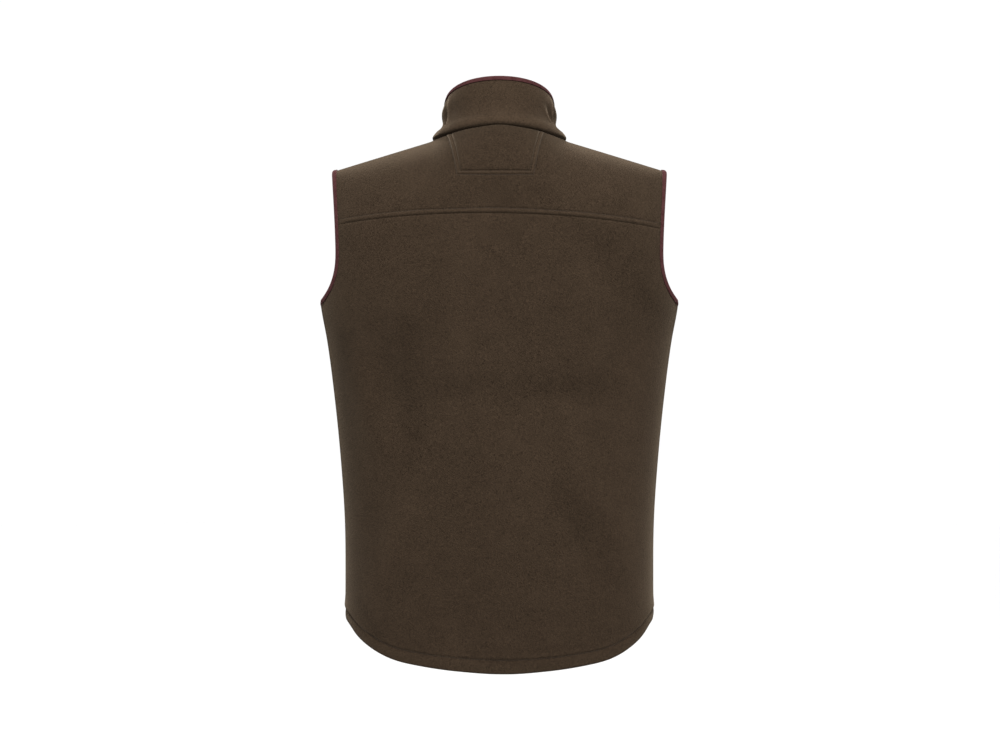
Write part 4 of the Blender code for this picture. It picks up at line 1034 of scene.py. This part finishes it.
def make_front(side):
    across = np.concatenate([COLUMNS_AT_ZIP, COLUMNS_BETWEEN, COLUMNS_AT_SIDE])
    neck_first = math.pi - math.asin(FRONT_EDGE / NECK_HALF_WIDTH)
    throat = float(over_shoulder(*neck_edge(np.array(neck_first)))[2])
    side_angle = math.pi / 2 - HALF_BITE / SIDE_RADIUS
    rows = []

    def by_height(heights, edge_angle):
        zip_angle = math.pi - angle_of_x(FRONT_EDGE, heights[0])
        turn = zip_angle + (edge_angle - zip_angle) * across
        rows.append(skin_at_height(side * turn, heights))
        return turn

    hem_row, fold_row, turning = hem_rows(math.pi - (math.pi - side_angle) * across)
    dip = UNDERARM_DIP * dip_to_armhole(across)
    underarm_row = FRONT_UNDERARM + (ARMHOLE_BOTTOM - FRONT_UNDERARM) * across**1.5 - dip
    body_foot = fold_row + ABOVE_FOLD[-1]
    body = [hem_row + turning * up for up in UP_THE_HEM]
    body += [fold_row + above for above in ABOVE_FOLD]
    body += [body_foot + (underarm_row - body_foot) * up for up in UP_THE_BODY]
    for heights in body:
        by_height(heights, side_angle)
    underarm = len(rows) - 1
    for up in UP_THE_ARMHOLE:
        edge_turn, edge_height = armhole_edge(1 - up, FRONT_NECK_TOP, False)
        start = FRONT_UNDERARM + (throat - FRONT_UNDERARM) * up
        row = start + (edge_height - start) * across ** (1.5 - 0.6 * up) - dip * (1 - up) ** 2
        turn = by_height(row, math.pi / 2 + float(edge_turn))
    below_x = side * at_height(turn, row)[..., 0]
    below_over = way_over(below_x, row, False)
    last = -SHOULDER_SEAM_FORWARD + HALF_BITE
    low_over = float(way_over(armhole_x(FRONT_NECK_TOP, False), FRONT_NECK_TOP, False))
    neck_x, neck_over = neck_edge(neck_first + (neck_corner() - neck_first) * UP_THE_SHOULDER)
    neck_over[-1] = last
    for share, start_x, start_over in zip(UP_THE_SHOULDER, neck_x, neck_over):
        edge_over = low_over + (last - low_over) * share
        edge_x = ARMHOLE_SHOULDER_EDGE
        for _ in range(5):
            edge_x = float(armhole_x(over_shoulder(edge_x, edge_over)[2], False))
        row_over = start_over + (edge_over - start_over) * across
        row_x = side * (start_x + (edge_x - start_x) * across)
        if share == 0:
            for step in (0.2, 0.4, 0.6, 0.8):
                step_x = below_x + (row_x - below_x) * step
                rows.append(skin_over_shoulder(step_x, below_over + (row_over - below_over) * step))
        rows.append(skin_over_shoulder(row_x, row_over))
    points, out = (np.array(part) for part in zip(*rows))

    neck = slice(len(rows) - len(UP_THE_SHOULDER), None)
    from_top = (1 - UP_THE_SHOULDER)[:, None] * abs(low_over - last)
    relief = turned_under(np.abs(points[..., 0]) - FRONT_EDGE)
    relief[neck] = seam_relief(across * FRONT_WIDE_AT_NECK, 0.8, 0.7) + seam_relief(from_top, 0.8, 0.7)
    relief[underarm + 1 :] *= off_the_armhole(across)
    relief[: underarm + 1] += seam_relief((1 - across) * FRONT_HALF_ROUND, 0.8, 0.7)
    heights = points[..., 2]
    relief += hem_relief(points[..., 0] * 1.3 + 0.4, heights - fold_row, heights - hem_row)
    return *panel_faces(points, out, relief, hem_wall(heights - fold_row, heights - hem_row)), underarm


fronts = {}
for side, word in ((1, "left"), (-1, "right")):
    outer, inner, painted_relief_light, underarm = make_front(side)
    fronts[word] = (outer, inner, underarm)
    front = sewn_wall(f"{word}_front", outer, inner, painted_relief_light, brushed_fleece(f"{word}_front_fleece"))
    stand_in(front, f"front_{word}")


# The stand collar is two layers of fleece sewn to the neckline. It rolls over its own seam, and it creases
# softly where it turns to the front.

COLLAR = table(
    "side side_height back back_height front front_height back_bend front_bend",
    (0.0884, -0.0008, 0.0836, 0.0127, 0.0832, -0.0372, 2.6, 1.85),
    (0.0895, 0.0026, 0.0849, 0.0164, 0.0838, -0.0335, 2.6, 1.80),
    (0.0853, 0.0084, 0.0838, 0.0224, 0.0836, -0.0285, 2.5, 1.70),
    (0.0782, 0.0142, 0.0795, 0.0300, 0.0828, -0.0220, 2.1, 1.50),
    (0.0757, 0.0200, 0.0762, 0.0410, 0.0815, -0.0090, 1.4, 1.20),
    (0.0768, 0.0315, 0.0742, 0.0580, 0.0795, 0.0120, 1.0, 1.00),
    (0.0722, 0.0425, 0.0712, 0.0728, 0.0775, 0.0310, 0.78, 1.00),
)
COLLAR_SQUARENESS = 2.05
SIDE_EASE = 7
COLLAR_ROWS = np.concatenate([np.linspace(0, 1, 7)[:-1], np.linspace(1, 4, 22)[:-1], np.linspace(4, 7, 26)])
COLLAR_ENDS = 1 - np.array([0, 15, 35, 60, 90, 130, 170, 210, 245, 280]) * 1e-4

COLLAR_FOLDS = table(
    "round_deg height half_high lean_deg half_width_deg out",
    (61, 0.030, 0.028, -40, 5.0, 0.0012),
    (70, 0.029, 0.026, -60, 4.0, -0.0026),
    (81, 0.030, 0.022, 0, 6.0, 0.0006),
    (-57, 0.0265, 0.018, 700, 3.5, 0.0012),
    (-61.5, 0.029, 0.016, 500, 3.5, -0.0022),
    (-67, 0.032, 0.022, 150, 3.0, 0.0012),
    (-73.5, 0.030, 0.020, 150, 3.5, -0.0030),
    (-150, -0.002, 0.024, 300, 6.0, -0.0016),
    (146, 0.000, 0.022, -260, 5.0, -0.0014),
)


def collar_ring(ring, round_angle):
    """One level ring of the collar's outer face, by the angle round from the centre back."""
    cos, sin = np.cos(round_angle), np.sin(round_angle)
    power = 2 / COLLAR_SQUARENESS
    x = ring.side * np.sign(sin) * np.abs(sin) ** power
    y = np.where(cos >= 0, ring.back, ring.front) * np.sign(cos) * np.abs(cos) ** power
    end = np.where(cos >= 0, ring.back_height, ring.front_height)
    bend = np.where(cos >= 0, ring.back_bend, ring.front_bend)
    return np.stack([x, y, ring.side_height + (end - ring.side_height) * np.abs(cos) ** bend], axis=-1)


def directions(points):
    """Outward directions of a grid whose rows run up and whose columns run to the wearer's left."""
    return unit(np.cross(np.gradient(points, axis=0), np.gradient(points, axis=1)))


def make_collar():
    turns = math.pi - math.asin(FRONT_EDGE / NECK_HALF_WIDTH)
    shares = np.linspace(-1, 1, 360)
    shares = shares[np.abs(shares) < 0.966]
    shares = np.unique(np.concatenate([shares, COLLAR_ENDS, -COLLAR_ENDS]))
    seam_x, seam_over = neck_edge(shares * turns, larger=SEAM_BITE)
    seam_x[[0, -1]] = (-FRONT_EDGE, FRONT_EDGE)
    seam, seam_out = skin_over_shoulder(seam_x, seam_over)
    rings = [seam - seam_out * SEAM_DEEP]
    eased = np.full(2 * SIDE_EASE + 1, 1 / (2 * SIDE_EASE + 1))
    for level in COLLAR:
        end = math.pi - math.asin((FRONT_EDGE / level.side) ** (COLLAR_SQUARENESS / 2))
        ring = collar_ring(level, shares * end)
        held = np.pad(ring[:, 2], SIDE_EASE, mode="reflect", reflect_type="odd")
        ring[:, 2] = np.convolve(held, eased, mode="valid")
        rings.append(ring)
    lines = np.array(rings).reshape(len(rings), -1).T
    points = np.array([smooth_through(COLLAR_ROWS, np.arange(len(rings)), line) for line in lines])
    points = points.T.reshape(len(COLLAR_ROWS), -1, 3)
    out = directions(points)
    degrees = np.degrees(shares * turns)
    above = points[..., 2]
    relief = turned_under(np.abs(points[..., 0]) - FRONT_EDGE + (np.abs(degrees) < 150))
    for fold in COLLAR_FOLDS:
        line = fold.round_deg + fold.lean_deg * (above - fold.height)
        along = np.clip(1 - ((above - fold.height) / fold.half_high) ** 2, 0, 1)
        relief += bump(degrees - line, fold.half_width_deg, fold.out) * along
    return panel_faces(points, out, relief)


collar_outer, collar_inner, collar_painted_light = make_collar()
# The collar's fleece paler: painted light on a collar that faces up to the light
collar_fleece = brushed_fleece("collar_fleece", 1.14)
collar = sewn_wall("stand_collar", collar_outer, collar_inner, collar_painted_light, collar_fleece)
stand_in(collar, "collar")


# Knitted tape is folded over the armholes and the collar's top edge, and stitched near its inner edge.

BINDING_LAP = 0.0016
BINDING_LOOSE = 0.0005
BINDING_WALL = 0.0012
BINDING_WINE = (0.0240, 0.0092, 0.0094, 1.0)
BINDING_DARK = (0.0110, 0.0036, 0.0034, 1.0)
BINDING_SHEEN_TINT = (0.75, 0.42, 0.42, 1.0)
BINDING_STITCH = Thread((0.0065, 0.0016, 0.0022, 1.0), 0.0019, 0.0009, 0.0005, 0.0003)
FOLD_TURNS = np.radians(np.linspace(0, 180, 11))
BINDING_STEP = 0.0009
STITCH_PITCH = 0.0028
ARMHOLE_REACH = 0.0056
COLLAR_REACH = 0.0042


def evenly(line, spacing, closed):
    """Stations at an even spacing along a line of rows of numbers, whose first three are its points."""
    if closed:
        line = np.concatenate([line, line[:1]])
    away = along_line(line[:, :3])
    count = int(away[-1] / spacing)
    at = np.linspace(0, away[-1], count + 1)
    return read_along(away, line, at[:-1] if closed else at)


def knitted_tape(name):
    tape = Finish(
        name,
        Roughness=0.8,
        Sheen_Weight=0.06,
        Sheen_Roughness=0.4,
        Sheen_Tint=BINDING_SHEEN_TINT,
        Specular_IOR_Level=0.0,
    )
    knit = tape.grain(1500, 1.0)
    tone = knit * 0.6 + tape.grain(160, 2.0) * 0.4
    tape.colour(tape.mixed(tone.between(0.3, 0.62), BINDING_DARK, BINDING_WINE))
    tape.bumps(knit, 0.0005)
    return tape.made


def make_binding(name, node, edge_outer, edge_inner, toward, reach, closed):
    """Tape folded over an edge of cloth; toward lies off the cloth, on the tape's side."""
    stations = evenly(np.concatenate([edge_outer, edge_inner], axis=1), BINDING_STEP, closed)
    outer, inner = stations[:, :3], stations[:, 3:]
    if closed:
        before, after = outer[-3:], outer[:3]
    else:
        before, after = (np.tile(2 * outer[end] - outer[back], (3, 1)) for end, back in ((0, 3), (-1, -4)))
    padded = np.concatenate([before, outer, after])
    along = unit(padded[6:] - padded[:-6])
    off = unit(outer - inner)
    off = unit(off - along * (off * along).sum(axis=1, keepdims=True))
    way = np.cross(along, off)
    way *= np.sign(((toward - outer) * way).sum(axis=1, keepdims=True))
    middle, half = (outer + inner) / 2, np.linalg.norm(outer - inner, axis=1, keepdims=True) / 2
    number = np.arange(len(outer))[:, None]
    pinch = 0.5 + 0.5 * np.cos(2 * math.pi * number * BINDING_STEP / STITCH_PITCH)
    near, far = half + BINDING_LOOSE, half + BINDING_LOOSE + BINDING_WALL
    section = (  # how far toward the fold, and how far off the cloth's middle
        (-BINDING_LAP, near),
        (-BINDING_LAP - 0.0003, near + BINDING_WALL * 0.35),
        (-BINDING_LAP, far - 0.0003),
        (-BINDING_LAP + 0.0006, far - 0.0002 - 0.0003 * pinch),
        (-BINDING_LAP + 0.0014, far - 0.0001 - 0.0004 * pinch),
        (reach * 0.22, far + 0.0001),
        *((reach * (0.42 + 0.58 * math.sin(turn)), far * math.cos(turn)) for turn in FOLD_TURNS),
        (reach * 0.22, -far),
        (-BINDING_LAP + 0.0006, -far + 0.0003 * pinch),
        (-BINDING_LAP, -far + 0.0003),
        (-BINDING_LAP, -near),
        (0.0003, -near),
        (0.0003, near),
    )
    rings = np.stack([middle + way * forward + off * up for forward, up in section], axis=1)
    faces = swept(len(rings), len(section), closed)
    stand_in(new_piece(name, rings.reshape(-1, 3), faces, knitted_tape(f"{name}_tape")), node)
    line = middle + way * (-BINDING_LAP + 0.0008) + off * (far - 0.0004)
    if closed:
        line, off = np.concatenate([line, line[:1]]), np.concatenate([off, off[:1]])
    stitches(f"{name}_stitches", line, off, BINDING_STITCH)


for word, column, middle in (("left", -1, 0.25), ("right", 0, -0.25)):
    front_outer, front_inner, underarm = fronts[word]
    edge = []
    for back_face, yoke_face, front_face in (
        (back_outer, yoke_outer, front_outer),
        (back_inner, yoke_inner, front_inner),
    ):
        back_edge = back_face[:SIDE_SEAM_ROW, column][::-1]
        front_edge = front_face[underarm:, -1][::-1]
        edge.append(np.concatenate([back_edge, yoke_face[:, column], front_edge]))
    toward = (middle, 0.0, -0.125)
    make_binding(f"armhole_tape_{word}", f"armhole_binding_{word}", *edge, toward, ARMHOLE_REACH, True)
collar_edges = (collar_outer[-1], collar_inner[-1])
make_binding("collar_tape", "collar_binding", *collar_edges, (0, 0, 1), COLLAR_REACH, False)


# The zip: moulded teeth on two woven tapes, a box at the foot, and a slider with a hanging pull at the top.

ZIP_BROWN = (0.0105, 0.0072, 0.0050, 1.0)
ZIP_METAL = (0.16, 0.13, 0.095, 1.0)
TOOTH_BROWN = (0.0085, 0.0060, 0.0042, 1.0)
TOOTH_PITCH = 0.0024
TEETH_FROM = 0.0010
TEETH_END = 0.0008
IN_SLIDER = 0.0045
INTO_BOX = 0.0012

TAPE_EDGE = table(
    "x half_deep",
    (0.0016, 0.0004),
    (0.0023, 0.0008),
    (0.0031, 0.0008),
    (0.0037, 0.0004),
    (0.0048, 0.0001),
)
# A tooth of the wearer's left row, from its root to its head
TOOTH = table(
    "x half_high half_deep",
    (0.0030, 0.00060, 0.00115),
    (0.0016, 0.00060, 0.00115),
    (0.0006, 0.00042, 0.00100),
    (-0.0004, 0.00062, 0.00112),
    (-0.0010, 0.00035, 0.00090),
)
TOOTH_CORNERS = np.radians(np.arange(8) * 45 + 22.5)
CORNER_FULLER = 1.08


def woven_tape(name):
    tape = Finish(name, Roughness=0.85, Specular_IOR_Level=0.02)
    bands = {"bands_direction": "Z"}
    ribs = tape.node("ShaderNodeTexWave", bands, output="Fac", Vector=tape.place(), Scale=420, Distortion=0.6)
    grain = tape.grain(1400, 1.0)
    tape.colour(tape.mixed(ribs * 0.5 + grain * 0.5, darker(ZIP_BROWN, 0.6), ZIP_BROWN))
    tape.bumps(ribs * 0.6 + grain * 0.4, 0.0003)
    return tape.made


def zip_metal(name):
    """Brushed, lightly tarnished metal."""
    metal = Finish(name, Roughness=0.35, Metallic=1.0)
    tarnish = metal.grain(420, 3.0, 0.6)
    metal.colour(metal.mixed(tarnish, ZIP_METAL, darker(ZIP_METAL, 0.7)))
    metal.bumps(tarnish, 0.00005)
    return metal.made


def moulded_plastic(name):
    """Dark, slightly glossy teeth, dulled here and there by wear."""
    plastic = Finish(name, Roughness=0.5, Specular_IOR_Level=0.12)
    worn = plastic.grain(500, 2.0)
    plastic.colour(plastic.mixed(worn, TOOTH_BROWN, darker(TOOTH_BROWN, 0.7)))
    plastic.bumps(worn, 0.00004)
    return plastic.made


for name, paint in (
    ("zip_tape_left", woven_tape("zip_tape_left_weave")),
    ("zip_tape_right", woven_tape("zip_tape_right_weave")),
    ("zip_slider", zip_metal("slider_metal")),
    ("zip_pull", zip_metal("pull_metal")),
    ("zip_box", moulded_plastic("box_plastic")),
):
    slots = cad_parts[name].data.materials
    for place in range(len(slots)):
        slots[place] = paint


def chain_line():
    """y and z of stations up the middle of the chain's solid, and how far along it each one is."""
    corners = np.array([corner.co[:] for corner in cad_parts["zip_chain"].data.vertices])
    corners = np.unique(np.round(corners, 5), axis=0)
    order = corners[np.argsort(corners[:, 2])]
    levels = order.reshape(-1, 4, 3).mean(axis=1)[:, 1:]
    return levels, along_line(levels)


chain, chain_away = chain_line()


def on_chain(at):
    """y and z of a point along the chain, of the way along it, and of the way through it."""
    centre, ahead, behind = read_along(chain_away, chain, (at, at + 0.002, at - 0.002))
    way = unit(ahead - behind)
    return centre + way * min(at, 0), way, np.array([way[1], -way[0]])


def make_tape_edges():
    """The tapes' corded edges, which the teeth are moulded round and which let no light through."""
    face = [(-x, deep) for x, deep in TAPE_EDGE[::-1]] + list(TAPE_EDGE)
    outline = face + [(x, -deep) for x, deep in face[::-1]]
    points = []
    stations = np.linspace(-INTO_BOX, chain_away[-1] - IN_SLIDER, 260)
    for at in stations:
        centre, _, across = on_chain(at)
        points += [(x, *(centre + across * deep)) for x, deep in outline]
    faces = swept(len(stations), len(outline))
    return new_piece("zip_tape_edges", np.array(points), faces, woven_tape("zip_edge_weave"))


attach(make_tape_edges(), "gilet")


def make_teeth():
    """Two rows of interlocking teeth, moulded on the tapes' edges."""
    tooth = swept(len(TOOTH), len(TOOTH_CORNERS))
    points, faces = [], []
    for side, first in ((1, TEETH_FROM), (-1, TEETH_FROM + TOOTH_PITCH / 2)):
        for at in np.arange(first, chain_away[-1] - TEETH_END, TOOTH_PITCH):
            centre, way, across = on_chain(at)
            faces.append(tooth[:, ::side] + len(points))
            for x, high, deep in TOOTH:
                for turn in TOOTH_CORNERS:
                    corner = way * high * math.sin(turn) + across * deep * math.cos(turn)
                    points.append((side * x, *(centre + corner * CORNER_FULLER)))
    plastic = moulded_plastic("teeth_plastic")
    return new_piece("zip_teeth", np.array(points), np.concatenate(faces), plastic, smooth=False)


stand_in(make_teeth(), "zip_chain")


# Rows of lockstitch in brown thread hold the lapped seams, the hem and the front edges.

BROWN_STITCH = Thread((0.0100, 0.0070, 0.0047, 1.0), 0.0026, 0.0006, 0.00055, 0.0001)
YOKE_STITCH_ROW = 11
PANEL_STITCHES_BELOW = 9


def at_distance(outer, inner, distances, value):
    """The points, and the outward directions, where each row of a grid is this distance from an edge."""
    face = np.concatenate([outer, outer - inner], axis=-1)
    found = np.array([read_along(away, row, value) for away, row in zip(distances, face)])
    return found[:, :3], unit(found[:, 3:])


def beside_zip(name, outer, inner):
    line, out = at_distance(outer, inner, np.abs(outer[..., 0]) - FRONT_EDGE, ZIP_STITCH_AWAY)
    stitches(name, line, out, BROWN_STITCH)


def round_panel(grid):
    """The values of a grid of the yoke along the stitches round the neck panel."""
    bottom = YOKE_PANEL_ROW - PANEL_STITCHES_BELOW
    left, right = (np.argmin(np.abs(yoke_columns - side * WELT_STITCH_COLUMN)) for side in (-1, 1))
    down, up = grid[bottom + 1 : -3, left][::-1], grid[bottom + 1 : -3, right]
    return np.concatenate([down, grid[bottom, left : right + 1], up])


yoke_out = unit(yoke_outer - yoke_inner)
yoke_line, yoke_line_out = yoke_outer[YOKE_STITCH_ROW, 1:-1], yoke_out[YOKE_STITCH_ROW, 1:-1]
back_out = unit(back_outer - back_inner)
stitches("yoke_stitches", yoke_line, yoke_line_out, BROWN_STITCH)
stitches("neck_panel_stitches", round_panel(yoke_outer), round_panel(yoke_out), BROWN_STITCH)
stitches("back_hem_stitches", back_outer[HEM_STITCH_ROW], back_out[HEM_STITCH_ROW], BROWN_STITCH)
for word, (outer, inner, underarm) in fronts.items():
    front_out = unit(outer - inner)
    stitches(f"{word}_hem_stitches", outer[FRONT_HEM_ROW], front_out[FRONT_HEM_ROW], BROWN_STITCH)
    body = slice(2, underarm + 24)
    beside_zip(f"{word}_zip_stitches", outer[body], inner[body])
for word, part in (("left", slice(-1, -41, -1)), ("right", slice(0, 40))):
    beside_zip(f"{word}_collar_stitches", collar_outer[8:-2, part], collar_inner[8:-2, part])
